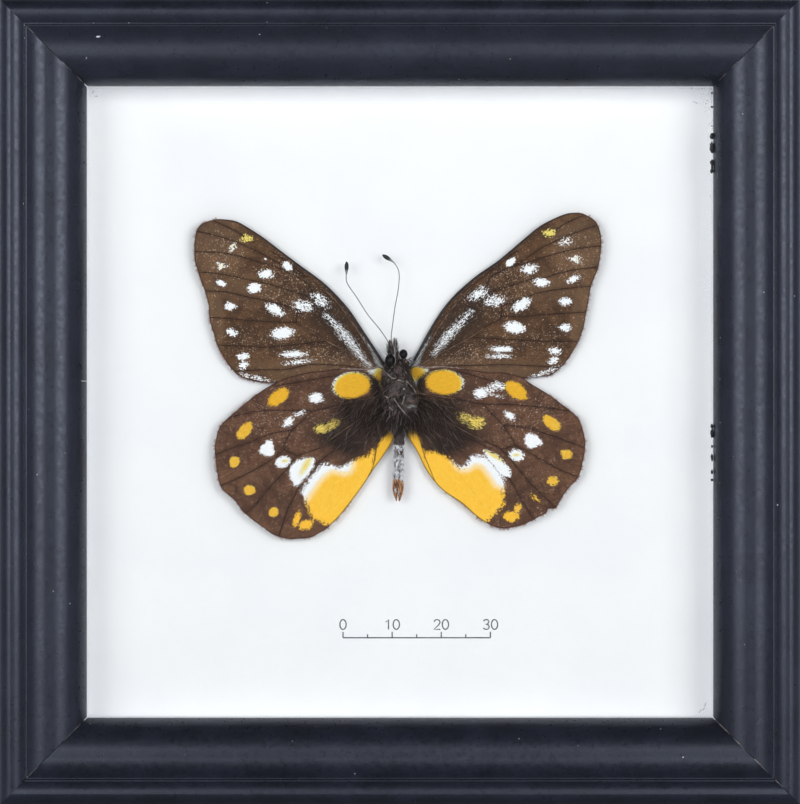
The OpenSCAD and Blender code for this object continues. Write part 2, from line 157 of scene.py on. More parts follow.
class Look(Nodes):
    """A new material, with its shader, patterns and colours."""

    def __init__(self, name, **sockets):
        self.material = bpy.data.materials.new(name)
        self.material.use_nodes = True
        super().__init__(self.material.node_tree)
        self.shader = self.tree.nodes["Principled BSDF"]
        for socket, value in sockets.items():
            self.set(socket.replace("_", " "), value)
        self.place = self.add("ShaderNodeTexCoord").outputs["Object"]

    def set(self, socket, value):
        self.put(value, self.shader.inputs[socket])

    def stretched(self, scale, place=None):
        """The place on the object, stretched by a factor along each axis."""
        return self.add("ShaderNodeMapping", {"Vector": place or self.place, "Scale": scale}).outputs[0]

    def noise(self, per_mm, detail=2.0, rough=0.5, place=None):
        inputs = {"Vector": place or self.place, "Scale": per_mm / MM, "Detail": detail, "Roughness": rough}
        return self.add("ShaderNodeTexNoise", inputs).outputs["Fac"]

    def cells(self, per_mm, place=None, output="Distance"):
        inputs = {"Vector": place or self.place, "Scale": per_mm / MM}
        return self.add("ShaderNodeTexVoronoi", inputs).outputs[output]

    def cell_value(self, per_mm, place=None):
        """One random number between 0 and 1 for each cell."""
        return self.add("ShaderNodeSeparateColor", {0: self.cells(per_mm, place, "Color")}).outputs[0]

    def mix(self, amount, a, b, blend="MIX"):
        settings = {"data_type": "RGBA", "blend_type": blend, "clamp_factor": True}
        return self.add("ShaderNodeMix", {0: amount, 6: a, 7: b}, **settings).outputs[2]

    def tone(self, colour, brightness):
        """A colour made darker or brighter by a number."""
        grey = self.add("ShaderNodeCombineColor", {0: brightness, 1: brightness, 2: brightness}).outputs[0]
        return self.mix(1.0, colour, grey, "MULTIPLY")

    def field(self, name, output="Fac"):
        """A value that the piece keeps on its points."""
        return self.add("ShaderNodeAttribute", attribute_name=name).outputs[output]

    def done(self, colour, relief, depth_mm, strength=1.0):
        """Sets the colour and the relief, and gives the material."""
        inputs = {"Height": relief, "Distance": depth_mm * MM, "Strength": strength}
        self.set("Base Color", colour)
        self.set("Normal", self.add("ShaderNodeBump", inputs).outputs["Normal"])
        return self.material


def rgb(red, green, blue):
    """A colour given as it looks on screen, 0 to 255."""
    def linear(c):
        c = c / 255
        return c / 12.92 if c <= 0.04045 else ((c + 0.055) / 1.055) ** 2.4
    return (linear(red), linear(green), linear(blue), 1.0)


def paint(name, material):
    """Gives a CAD node its material."""
    node = nodes[name]
    if not node.material_slots:
        node.data.materials.append(material)
    for slot in node.material_slots:
        slot.material = material


def waver(*place):
    """Smooth noise between -1 and 1 at a place."""
    return noise.noise(Vector(place))


def smooth_curve(points, step=0.25, closed=False):
    """Points about a step apart on a smooth curve through the given ones."""
    points = np.array(points, float)
    count = len(points)
    result = []
    for i in range(count if closed else count - 1):
        near = np.arange(i - 1, i + 3)
        a, b, c, d = points[near % count if closed else np.clip(near, 0, count - 1)]
        steps = max(1, math.ceil(np.linalg.norm(c - b) / step))
        t = np.arange(steps)[:, None] / steps
        result.append(0.5 * (2 * b + (c - a) * t + (2 * a - 5 * b + 4 * c - d) * t**2
                             + (3 * b - a - 3 * c + d) * t**3))
    if not closed:
        result.append(points[-1:])
    return np.concatenate(result)


def line_distance(at, line, closed=False, batch=2000):
    """Distance from each point to a line of points in the same plane."""
    starts = line if closed else line[:-1]
    way = (np.roll(line, -1, axis=0) if closed else line[1:]) - starts
    length2 = np.maximum((way**2).sum(1), 1e-12)
    nearest = np.full(len(at), np.inf)
    for first in range(0, len(at), batch):
        p = at[first:first + batch, None, :] - starts[None]
        t = np.clip((p * way[None]).sum(2) / length2[None], 0, 1)
        gap = p - t[..., None] * way[None]
        nearest[first:first + batch] = np.sqrt((gap**2).sum(2).min(1))
    return nearest


def nearest_distance(at, lines):
    """Distance from each point to the nearest of several open lines."""
    return np.min([line_distance(at, line) for line in lines], axis=0)


def inside(at, loop):
    """Whether each point lies inside a closed loop."""
    result = np.zeros(len(at), bool)
    for (x0, z0), (x1, z1) in zip(loop, np.roll(loop, -1, axis=0)):
        if z0 != z1:
            crosses = (z0 > at[:, 1]) != (z1 > at[:, 1])
            result ^= crosses & (at[:, 0] < (x1 - x0) * (at[:, 1] - z0) / (z1 - z0) + x0)
    return result


def well_inside(at, loop, room):
    """The points that lie inside a closed loop and keep some room from it."""
    at = at[inside(at, loop)]
    return at[line_distance(at, loop, closed=True) > room]


def loop_depth(at, points):
    """Signed distance to a smooth closed loop, negative inside."""
    loop = smooth_curve(points, 0.3, closed=True)
    away = line_distance(at, loop, closed=True)
    return np.where(inside(at, loop), -away, away)


def oval_depth(at, x, z, length, width, angle):
    """About the signed distance to an oval, negative inside."""
    c, s = math.cos(math.radians(angle)), math.sin(math.radians(angle))
    u = ((at[:, 0] - x) * c + (at[:, 1] - z) * s) / (length / 2)
    v = ((at[:, 1] - z) * c - (at[:, 0] - x) * s) / (width / 2)
    return (np.sqrt(u**2 + v**2) - 1) * width / 2


def streak_depth(at, stations):
    """Signed distance to a streak given as stations of X, Z and half width."""
    stations = smooth_curve(stations, 0.3)
    away = np.hypot(at[:, None, 0] - stations[None, :, 0], at[:, None, 1] - stations[None, :, 1])
    return (away - stations[None, :, 2]).min(1)


def on_board(x, lift, z):
    """A place of the specimen's own axes, in the case's millimetres."""
    x, z = x * SPECIMEN_SCALE + SPECIMEN_X, z * SPECIMEN_SCALE + mid_z + SPECIMEN_RISE
    return np.stack(np.broadcast_arrays(x, board_y - lift, z), axis=-1)


def at_specimen(points):
    """Points given as X, lift and Z of the specimen, in the case's millimetres."""
    return on_board(*np.asarray(points, float).T)


def join_meshes(parts):
    """One list of points and faces out of several."""
    verts, faces = [], []
    start = 0
    for points, polygons in parts:
        verts.append(points)
        faces += [tuple(v + start for v in polygon) for polygon in polygons]
        start += len(points)
    return np.concatenate(verts), faces


def make_piece(name, parts, material, replaces=None, fields=None):
    """A piece out of one or more meshes in millimetres, smooth and riding on the case."""
    verts, faces = join_meshes(parts)
    mesh = bpy.data.meshes.new(name)
    mesh.from_pydata((verts * MM).tolist(), [], faces)
    mesh.materials.append(material)
    mesh.polygons.foreach_set("use_smooth", [True] * len(mesh.polygons))
    for key, values in (fields or {}).items():
        values = np.asarray(values, np.float32)
        kind, member = ("FLOAT_VECTOR", "vector") if values.ndim == 2 else ("FLOAT", "value")
        mesh.attributes.new(key, kind, "POINT").data.foreach_set(member, values.ravel())
    mesh.update()
    obj = bpy.data.objects.new(name, mesh)
    bpy.context.collection.objects.link(obj)
    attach(obj, "case")
    if replaces:
        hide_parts(replaces)
    return obj


def circle(sides):
    """The angles of evenly spaced points on a circle."""
    return 2 * np.pi * np.arange(sides) / sides


def ring_faces(rings, sides, downward=False):
    """Faces that join one ring of points to the next, with a cap on each end."""
    faces = []
    for start in range(0, (rings - 1) * sides, sides):
        for k in range(sides):
            a, b = start + k, start + (k + 1) % sides
            faces.append((a, a + sides, b + sides, b) if downward else (a, b, b + sides, a + sides))
    first = tuple(range(sides))
    last = tuple(range((rings - 1) * sides, rings * sides))
    return faces + ([first, last[::-1]] if downward else [first[::-1], last])


def tube_mesh(line, radii, sides, flat=1.0):
    """Points and faces of a closed tube along a line, with one radius or a radius at each point."""
    line = np.asarray(line, float)
    radii = np.broadcast_to(np.asarray(radii, float), len(line))
    ahead = np.gradient(line, axis=0)
    ahead /= np.linalg.norm(ahead, axis=1)[:, None]
    side = np.cross(ahead, (0, 1, 0))
    side /= np.maximum(np.linalg.norm(side, axis=1)[:, None], 1e-9)
    up = np.cross(side, ahead)
    turn = circle(sides)[None, :, None]
    ring = np.cos(turn) * side[:, None] + flat * np.sin(turn) * up[:, None]
    return (line[:, None] + radii[:, None, None] * ring).reshape(-1, 3), ring_faces(len(line), sides)


def ball_mesh(centre, radii, turns, rows, shape=lambda way: 1.0):
    """Points and faces of a ball whose surface a function may push in or out."""
    verts, faces = [], []
    for tilt in np.pi * np.arange(rows + 1) / rows:
        for turn in circle(turns):
            way = np.array((math.sin(tilt) * math.cos(turn), math.sin(tilt) * math.sin(turn), math.cos(tilt)))
            verts.append(np.array(centre) + way * np.array(radii) * shape(way))
    for i in range(rows):
        for k in range(turns):
            a, b = i * turns + k, i * turns + (k + 1) % turns
            if i == 0:
                faces.append((a, a + turns, b + turns))
            elif i == rows - 1:
                faces.append((a, a + turns, b))
            else:
                faces.append((a, a + turns, b + turns, b))
    return np.array(verts), faces


def strands(name, roots, ways, lengths, radius, material, rng, curl, replaces=None):
    """Tapered three-sided hairs in the case's millimetres, each with a random tone."""
    faces = ring_faces(len(HAIR_LEVELS), HAIR_SIDES)
    level = HAIR_LEVELS[:, None, None]
    turn = circle(HAIR_SIDES)[:, None]
    hairs, tones = [], []
    for root, way, length in zip(roots, ways, lengths):
        way = way / np.linalg.norm(way)
        side = np.cross(way, rng.normal(size=3))
        side /= np.linalg.norm(side)
        up = np.cross(way, side)
        bend = curl * length * (rng.normal() * side + rng.normal() * up)
        middle = root + way * length * level + bend * level**2
        ring = radius * (1 - HAIR_TAPER * level) * (np.cos(turn) * side + np.sin(turn) * up)
        hairs.append(((middle + ring).reshape(-1, 3), faces))
        tones.append(rng.random())
    tones = np.repeat(tones, len(HAIR_LEVELS) * HAIR_SIDES)
    make_piece(name, hairs, material, replaces, {"tone": tones})


def lay_hairs(name, hairs, radius, material, rng, curl, replaces=None):
    """Hairs given by root, way and length in the specimen's axes."""
    roots, ways, lengths = zip(*hairs)
    ways = np.asarray(ways, float) * (1, -1, 1)
    strands(name, at_specimen(roots), ways, lengths, radius, material, rng, curl, replaces)


def hair_look(name, dark, middle, pale, pale_share):
    """Hairs of three colours; the palest has the share given."""
    look = Look(name, Roughness=0.55, Specular_IOR_Level=0.3)
    tone = look.field("tone")
    colour = look.mix(look.fade(tone, 0.0, 1 - pale_share), rgb(*dark), rgb(*middle))
    colour = look.mix(look.fade(tone, 1 - pale_share, 1 - pale_share * 0.6), colour, rgb(*pale))
    look.set("Base Color", look.tone(colour, look.fade(look.noise(2.5), 0.3, 0.7, 0.8, 1.2)))
    return look.material


def skin_look(name, dark, pale, per_mm, roughness=0.6, depth=0.05):
    """Horny skin with fine wrinkles and hair roots."""
    look = Look(name, Roughness=roughness, Specular_IOR_Level=0.3)
    wrinkles = look.noise(per_mm, 4, 0.6)
    roots = look.cells(per_mm * 2.2)
    colour = look.mix(look.fade(wrinkles, 0.38, 0.66), rgb(*dark), rgb(*pale))
    colour = look.tone(colour, look.fade(roots, 0.1, 0.6, 0.75, 1.15))
    return look.done(colour, look.sum(wrinkles, look.product(roots, 0.4)), depth)


def wing_look(name, ground, deep, speck):
    """Rows of tiny scales: brown ground, dark veins, marks with ragged edges and scattered pale scales."""
    look = Look(name, Roughness=0.6, Specular_IOR_Level=0.14)
    grain = look.field("grain", "Vector")
    rows = look.stretched((0.5, 1, 1), grain)
    scale = look.cell_value(6.5, rows)
    fine = look.cell_value(11, rows)
    colour = look.mix(look.fade(look.noise(0.35, 3, 0.6, grain), 0.35, 0.68), rgb(*deep), rgb(*ground))
    colour = look.tone(colour, look.vary(scale, 0.8, 1.2))
    colour = look.tone(colour, look.vary(fine, 0.76, 1.24))
    colour = look.mix(look.vary(look.field("wash"), 0.0, 0.15), colour, rgb(178, 142, 110))

    # Pale scales strewn over the ground, thicker where the field says so
    anywhere = look.fade(look.noise(0.7, 2, 0.5, grain), 0.4, 0.7, 0.004, 0.045)
    pale = look.math("GREATER_THAN", look.sum(look.field("dust"), anywhere), look.cell_value(6.5))
    colour = look.mix(look.product(pale, look.vary(fine, 0.1, 0.8)), colour, rgb(*speck))

    # Veins, a painted shade along them that stands in for their relief, and the dark base
    vein = look.field("vein")
    wander = look.sum(vein, look.vary(fine, -0.05, 0.05))
    colour = look.mix(look.fade(wander, 0.16, 0.06, 0.0, 0.85), colour, rgb(44, 25, 22))
    # Painted shade: darker within about a millimetre of each vein, a little lighter between the veins
    colour = look.tone(colour, look.fade(vein, 0.0, 0.85, 0.8, 1.03))
    ragged_base = look.sum(look.field("base"), look.vary(scale, -0.2, 0.2))
    colour = look.mix(look.fade(ragged_base, 0.1, 1.0), colour, rgb(35, 26, 23))

    # The edges of the marks are torn by whole and by fine scales
    ragged = look.field("ragged")
    tear = look.product(ragged, look.vary(scale, -1.0, 1.0))
    tear_fine = look.product(ragged, look.vary(fine, -0.5, 0.5))
    depth = look.sum(look.sum(look.field("mark"), tear), tear_fine)

    # The tint of a mark runs from silver through white and lemon to gold
    bright = look.field("bright")
    tint = look.sum(look.field("tint"), look.vary(fine, -0.12, 0.12))
    white = look.mix(look.vary(fine, 0, 1), rgb(236, 240, 246), rgb(253, 254, 255))
    lemon = look.mix(bright, rgb(232, 218, 118), rgb(252, 222, 160))
    silver = look.mix(look.fade(fine, 0.1, 0.9), rgb(104, 110, 114), rgb(204, 211, 214))
    dull_gold = look.mix(look.vary(scale, 0, 1), rgb(224, 166, 34), rgb(237, 183, 48))
    bright_gold = look.mix(look.vary(scale, 0, 1), rgb(251, 189, 50), rgb(255, 203, 72))
    gold = look.mix(bright, dull_gold, bright_gold)
    mark = look.mix(look.fade(tint, 0.1, 0.5), white, lemon)
    mark = look.mix(look.fade(tint, -0.2, -0.8), mark, silver)
    mark = look.mix(look.fade(tint, 0.5, 0.95), mark, gold)
    mark = look.tone(mark, look.fade(bright, -1.0, 0.0, 0.62, 1.0))
    colour = look.mix(look.fade(depth, 0.07, -0.07), colour, mark)

    # Fine dark lines over the marks, and the rim
    line = look.sum(look.field("line"), look.vary(fine, -0.03, 0.03))
    colour = look.mix(look.fade(line, 0.14, 0.03, 0.0, 0.85), colour, rgb(58, 36, 24))
    colour = look.mix(look.fade(look.field("rim"), 0.32, 0.08, 0.0, 0.75), colour, rgb(48, 28, 28))
    return look.done(colour, look.sum(scale, fine), 0.012, 0.5)


def wing_net(rim, curves):
    """Points and triangles that fill a wing's outline and follow its veins and folds."""
    low, high = rim.min(0), rim.max(0)
    xs = np.arange(low[0], high[0], WING_PITCH)
    zs = np.arange(low[1], high[1], WING_PITCH * 0.866)
    grid = np.stack(np.meshgrid(xs, zs), axis=-1)
    grid[1::2, :, 0] += WING_PITCH / 2
    grid = well_inside(grid.reshape(-1, 2), rim, MARGIN_ROOM)
    grid = grid[nearest_distance(grid, curves) > VEIN_ROOM]
    spine = well_inside(np.concatenate(curves), rim, VEIN_END_ROOM)
    points = [Vector(p) for p in np.concatenate([rim, spine, grid])]
    edges = [(i, (i + 1) % len(rim)) for i in range(len(rim))]
    flat, _, triangles, *_ = delaunay_2d_cdt(points, edges, [], 1, 1e-5)
    return np.array([tuple(p) for p in flat]), triangles


def wing_height(at, lift, vein, margin):
    """The sheet: raised veins, slack membrane between them, and a gentle rise towards the tip."""
    reach = np.hypot(at[:, 0], at[:, 1])
    sag, vein_ridge, vein_slope, thin_margin = 0.16, 0.07, 0.1, 0.05
    slack = np.array([waver(x * 0.16, z * 0.16, lift * 9) for x, z in at])
    height = lift + TIP_RISE * (reach / WING_LENGTH) ** 2 + sag * slack * np.clip(reach / ROOT_REACH, 0, 1)
    height += vein_ridge * np.exp(-((vein / 0.17) ** 2)) + vein_slope * np.exp(-vein / 0.8)
    return height - thin_margin * np.clip(1 - margin / 0.3, 0, 1)


def wing_fields(at, lift, marks, grounds):
    """What the wing's material reads on each point: its marks, its ground colours and its grain."""
    start = {"mark": 9, "tint": 0, "bright": 0, "ragged": 0.1, "dust": 0, "base": 0, "wash": 0}
    fields = {key: np.full(len(at), value, float) for key, value in start.items()}
    for mark, tint, ragged, bright in marks:
        away = mark(at)
        closer = away < fields["mark"]
        tint = tint(at) if callable(tint) else tint
        for key, value in (("mark", away), ("tint", tint), ("ragged", ragged), ("bright", bright)):
            fields[key] = np.where(closer, value, fields[key])
    for key, ground in grounds:
        fields[key] = np.maximum(fields[key], ground(at))
    angle = np.arctan2(at[:, 1], np.abs(at[:, 0]))
    reach = np.hypot(at[:, 0], at[:, 1])
    fields["grain"] = np.stack([reach, angle * GRAIN_RADIUS, np.full(len(at), lift)], axis=1) * MM
    return fields


def make_wing(name, outline, veins, lift, marks, grounds, material, lines):
    """A wing as a thin closed sheet, its marks kept as fields; gives a function that reads its height."""
    rim = smooth_curve(outline, WING_PITCH, closed=True)
    curves = [smooth_curve(vein, WING_PITCH) for vein in veins]
    folds = [smooth_curve(line, WING_PITCH * 0.7) for line, _ in lines]
    at, triangles = wing_net(rim, curves + folds)
    vein = nearest_distance(at, curves)
    margin = line_distance(at, rim, closed=True)
    height = wing_height(at, lift, vein, margin)
    fields = wing_fields(at, lift, marks, grounds)
    fields.update(vein=vein, rim=margin, line=np.full(len(at), 9.0))
    for fold, (_, faint) in zip(folds, lines):
        fields["line"] = np.minimum(fields["line"], line_distance(at, fold) + faint)

    total = len(at)
    faces, edges = [], []
    for a, b, c in triangles:
        ab, ac = at[b] - at[a], at[c] - at[a]
        if ab[0] * ac[1] - ab[1] * ac[0] < 0:
            b, c = c, b
        faces += [(a, b, c), (total + a, total + c, total + b)]
        edges += [(a, b), (b, c), (c, a)]
    known = set(edges)
    faces += [(b, a, total + a, total + b) for a, b in edges if (b, a) not in known]
    front = on_board(at[:, 0], height, at[:, 1])
    sheet = np.concatenate([front, front + (0, WING_THICKNESS, 0)])
    fields = {key: np.concatenate([value, value]) for key, value in fields.items()}
    obj = make_piece(name + "_membrane", [(sheet, faces)], material, name, fields)

    # The rim is sharp: its edges, and those that cross from the front to the back
    ends = np.array([edge.vertices[:] for edge in obj.data.edges])
    across = (ends[:, 0] < total) != (ends[:, 1] < total)
    along = (margin[ends % total] < 1e-4).all(axis=1)
    sharp = obj.data.attributes.new("sharp_edge", "BOOLEAN", "EDGE")
    sharp.data.foreach_set("value", (across | along).tolist())
    return lambda places: np.array([height[((at - p) ** 2).sum(1).argmin()] for p in places])


# Outline and veins of each wing, as X and Z in millimetres from the middle of the wing roots
LEFT_FOREWING = [
    (-2.8, 4.1), (-5.4, 8.2), (-7.5, 11.4), (-10.1, 15.3), (-13.2, 18.8), (-16.2, 21.5), (-20.7, 24.8),
    (-24.4, 27.6), (-27.5, 30.0), (-31.0, 32.3), (-33.4, 33.5), (-36.7, 33.9), (-39.5, 33.2), (-40.9, 32.0),
    (-41.5, 29.6), (-41.6, 27.5), (-41.5, 25.3), (-41.0, 23.7), (-40.2, 21.1), (-39.4, 19.0), (-38.7, 16.2),
    (-38.5, 13.4), (-37.7, 10.6), (-36.8, 7.8), (-35.4, 5.3), (-34.1, 3.4), (-32.3, 1.7), (-28.8, 0.6),
    (-25.7, 0.4), (-19.9, 0.9), (-12.0, 1.0), (-4.5, 0.6), (-1.2, -0.6), (-0.9, 1.8),
]
RIGHT_FOREWING = [
    (3.4, 4.9), (6.2, 10.2), (9.1, 14.9), (12.0, 18.4), (16.2, 22.1), (20.5, 25.1), (23.4, 27.5),
    (26.3, 30.0), (29.1, 32.3), (32.0, 33.9), (34.8, 35.0), (37.3, 35.2), (39.1, 34.5), (40.6, 33.3),
    (41.5, 31.3), (41.7, 28.9), (41.5, 26.4), (41.1, 24.1), (40.2, 21.7), (39.6, 20.0), (39.1, 17.2),
    (38.5, 14.0), (38.1, 11.7), (36.9, 8.6), (34.8, 5.1), (33.4, 3.5), (31.5, 2.0), (29.1, 1.6),
    (25.8, 1.4), (20.0, 1.5), (12.0, 1.2), (4.5, 0.6), (1.2, -0.6), (0.9, 1.8),
]
LEFT_HINDWING = [
    (-2.4, 2.4), (-3.0, 3.3), (-4.0, 3.7), (-5.3, 3.3), (-7.5, 3.2), (-11.8, 3.3), (-15.1, 2.9),
    (-18.5, 2.5), (-22.0, 1.6), (-25.4, 0.2), (-28.9, -2.0), (-33.2, -5.5), (-35.9, -8.0), (-36.9, -10.0),
    (-37.4, -12.9), (-37.2, -15.7), (-36.8, -18.6), (-35.9, -21.3), (-33.2, -23.8), (-31.8, -25.8),
    (-29.5, -27.8), (-27.5, -29.2), (-25.4, -30.7), (-22.6, -31.5), (-19.7, -31.5), (-17.5, -31.1),
    (-15.1, -29.8), (-13.4, -28.4), (-11.8, -26.8), (-9.4, -23.8), (-6.9, -20.4), (-4.8, -17.2),
    (-2.6, -14.1), (-0.7, -10.6), (-0.5, -6.0), (-0.9, -1.0),
]
RIGHT_HINDWING = [
    (2.3, 2.4), (2.9, 3.5), (4.0, 3.9), (5.6, 3.5), (9.1, 3.7), (13.4, 3.3), (18.3, 2.6), (21.8, 2.5),
    (25.2, 1.6), (27.7, 0.0), (31.0, -2.0), (33.8, -4.1), (36.7, -6.5), (37.7, -8.6), (38.4, -11.4),
    (38.2, -14.3), (37.5, -17.6), (36.8, -19.2), (34.9, -21.3), (33.4, -23.5), (32.4, -25.2), (30.9, -25.4),
    (30.4, -26.3), (28.6, -27.2), (26.3, -28.4), (24.0, -29.1), (21.8, -29.4), (19.9, -29.1), (17.7, -28.0),
    (16.0, -26.8), (13.2, -24.3), (9.9, -22.1), (7.7, -20.0), (5.6, -17.0), (4.0, -13.7), (2.1, -10.6),
    (1.7, -9.2), (1.5, -5.0), (1.2, -1.0),
]
LEFT_FOREWING_VEINS = [
    [(-40.9, 31.4), (-35.3, 30.0), (-29.7, 27.8), (-24.5, 25.0), (-19.0, 22.0)],
    [(-37.5, 33.5), (-33.4, 31.6), (-29.7, 29.2)],
    [(-41.4, 27.3), (-36.0, 27.0), (-31.9, 26.2), (-28.8, 25.3), (-25.1, 24.2), (-21.3, 22.5),
        (-18.5, 20.9)],
    [(-40.9, 23.1), (-37.0, 22.8), (-33.5, 22.2), (-30.4, 21.5), (-26.9, 20.8), (-20.5, 18.8),
        (-17.5, 18.0)],
    [(-39.4, 19.2), (-35.1, 19.0), (-30.4, 17.9), (-26.9, 17.3), (-21.5, 15.7), (-19.7, 15.2)],
    [(-38.4, 13.8), (-35.1, 13.6), (-30.4, 13.2), (-25.7, 12.9), (-22.6, 12.8), (-20.6, 12.8)],
    [(-36.8, 8.1), (-31.9, 7.9), (-26.9, 7.7), (-22.6, 8.1), (-17.9, 8.6), (-14.2, 8.9)],
    [(-33.2, 2.8), (-31.9, 2.9), (-26.9, 3.1), (-22.6, 3.2), (-17.2, 4.2), (-8.0, 3.5), (-3.5, 1.5)],
    [(-3.0, 1.9), (-5.6, 3.7), (-9.8, 6.4), (-14.4, 8.9), (-19.4, 11.9), (-20.6, 12.8), (-20.6, 14.4),
        (-19.7, 15.2), (-18.6, 16.6), (-17.5, 18.0), (-17.6, 19.4), (-18.5, 20.9)],
    [(-2.6, 3.2), (-5.4, 6.8), (-8.5, 11.6), (-12.0, 16.4), (-14.4, 18.9), (-18.5, 22.0), (-21.4, 24.2),
        (-25.5, 27.2)],
]
RIGHT_FOREWING_VEINS = [
    [(40.5, 32.5), (34.9, 30.6), (29.2, 27.8), (25.2, 25.2), (20.0, 22.6)],
    [(38.0, 34.6), (34.0, 32.8), (30.5, 30.2)],
    [(41.5, 28.4), (36.4, 27.8), (30.6, 26.3), (26.3, 24.9), (22.3, 23.8), (19.2, 22.3)],
    [(40.8, 24.1), (34.9, 23.3), (30.3, 22.0), (26.3, 21.3), (21.0, 19.6), (18.5, 19.0)],
    [(39.6, 20.2), (33.5, 19.6), (29.2, 18.9), (24.9, 17.4), (21.3, 16.2)],
    [(38.5, 14.9), (33.5, 14.6), (29.2, 14.3), (24.9, 14.0), (21.2, 14.0)],
    [(36.7, 8.9), (32.1, 8.9), (26.3, 9.1), (20.6, 9.4), (14.9, 9.7)],
    [(33.5, 3.5), (29.2, 3.8), (24.9, 4.0), (20.6, 4.1), (8.0, 3.6), (3.5, 1.8)],
    [(3.0, 2.4), (5.4, 4.5), (9.1, 6.6), (14.9, 9.7), (17.7, 11.7), (20.6, 13.2), (21.2, 14.0),
        (21.3, 16.2), (20.0, 17.8), (18.5, 19.0), (18.4, 20.6), (19.2, 22.3)],
    [(3.2, 4.0), (4.9, 6.0), (7.2, 9.6), (9.05, 12.6), (12.6, 17.4), (16.0, 20.9), (20.3, 24.3),
        (24.5, 27.4)],
]
LEFT_HINDWING_VEINS = [
    [(-2.5, -2.2), (-5.4, -2.7), (-11.7, -4.0), (-16.8, -5.2), (-22.0, -5.2), (-27.8, -5.3), (-31.5, -6.0),
        (-34.8, -6.8)],
    [(-2.6, 0.8), (-7.0, 2.5), (-13.0, 1.8), (-20.0, 0.6), (-25.2, -0.2)],
    [(-17.4, -5.4), (-21.4, -9.2), (-22.9, -11.5), (-23.2, -13.2), (-20.6, -14.6)],
    [(-21.4, -9.2), (-26.0, -10.1), (-30.3, -11.8), (-34.6, -13.2), (-37.3, -14.3)],
    [(-23.2, -13.2), (-25.2, -14.9), (-28.9, -17.2), (-32.6, -19.1), (-36.2, -20.6)],
    [(-2.6, -3.4), (-7.0, -6.6), (-11.8, -9.8), (-16.0, -12.9), (-20.6, -14.6), (-22.6, -17.2),
        (-26.6, -21.5), (-29.5, -25.0), (-31.3, -26.4)],
    [(-10.5, -11.5), (-14.0, -14.2), (-16.6, -16.2), (-19.2, -18.7), (-20.6, -21.8), (-22.6, -25.8),
        (-24.3, -31.0)],
]
RIGHT_HINDWING_VEINS = [
    [(3.0, -1.6), (7.0, -2.2), (12.0, -2.9), (17.4, -3.9), (22.3, -4.0), (26.3, -4.3), (30.6, -4.7),
        (35.2, -5.4)],
    [(3.0, 1.0), (7.0, 3.0), (13.0, 2.6), (20.0, 0.6), (26.2, -0.6)],
    [(17.4, -3.9), (18.9, -5.5), (21.7, -8.3), (23.2, -10.6), (23.9, -12.3), (21.2, -13.2)],
    [(21.7, -8.3), (26.3, -8.8), (30.6, -10.1), (34.4, -11.5), (38.2, -12.9)],
    [(23.9, -12.3), (26.3, -13.5), (29.2, -15.2), (32.9, -17.2), (37.0, -19.0)],
    [(3.2, -3.4), (9.0, -6.8), (14.3, -9.8), (17.7, -11.5), (21.2, -13.2), (24.3, -16.7), (27.2, -20.1),
        (30.3, -23.2), (32.1, -25.0)],
    [(13.0, -10.5), (18.3, -12.9), (21.2, -17.2), (23.5, -20.1), (25.2, -23.2), (27.8, -27.4)],
]


def oval(x, z, length, width, angle=0, tint=0.0, ragged=0.25, bright=0.0, solid=9.0):
    """An oval mark; the less solid it is, the more of the ground shows between its scales."""
    return (lambda at: np.maximum(oval_depth(at, x, z, length * 0.92, width * 0.84, angle), -solid),
            tint, ragged, bright)


def streak(stations, tint=0.0, ragged=0.4, solid=0.25):
    """A long mark that swells and thins."""
    return lambda at: np.maximum(streak_depth(at, stations), -solid), tint, ragged, 0.0


def patch(points, tint, ragged=0.2, bright=1.0):
    """A mark with an outline of its own."""
    return lambda at: loop_depth(at, points), tint, ragged, bright


def haze(x, z, length, width, angle, strength, soft):
    """A field that is strong inside an oval and fades out round it."""
    return lambda at: strength * np.clip(0.5 - oval_depth(at, x, z, length, width, angle) / soft, 0, 1)


def gold_heart(x, z, length, width, angle, soft):
    """Tint of a white mark that is golden inside an oval."""
    return haze(x, z, length, width, angle, 1.0, soft)


def white_along(points, reach, soft):
    """Tint of a golden mark that is white along a line."""
    return lambda at: np.clip((line_distance(at, smooth_curve(points)) - reach) / soft, 0, 1)


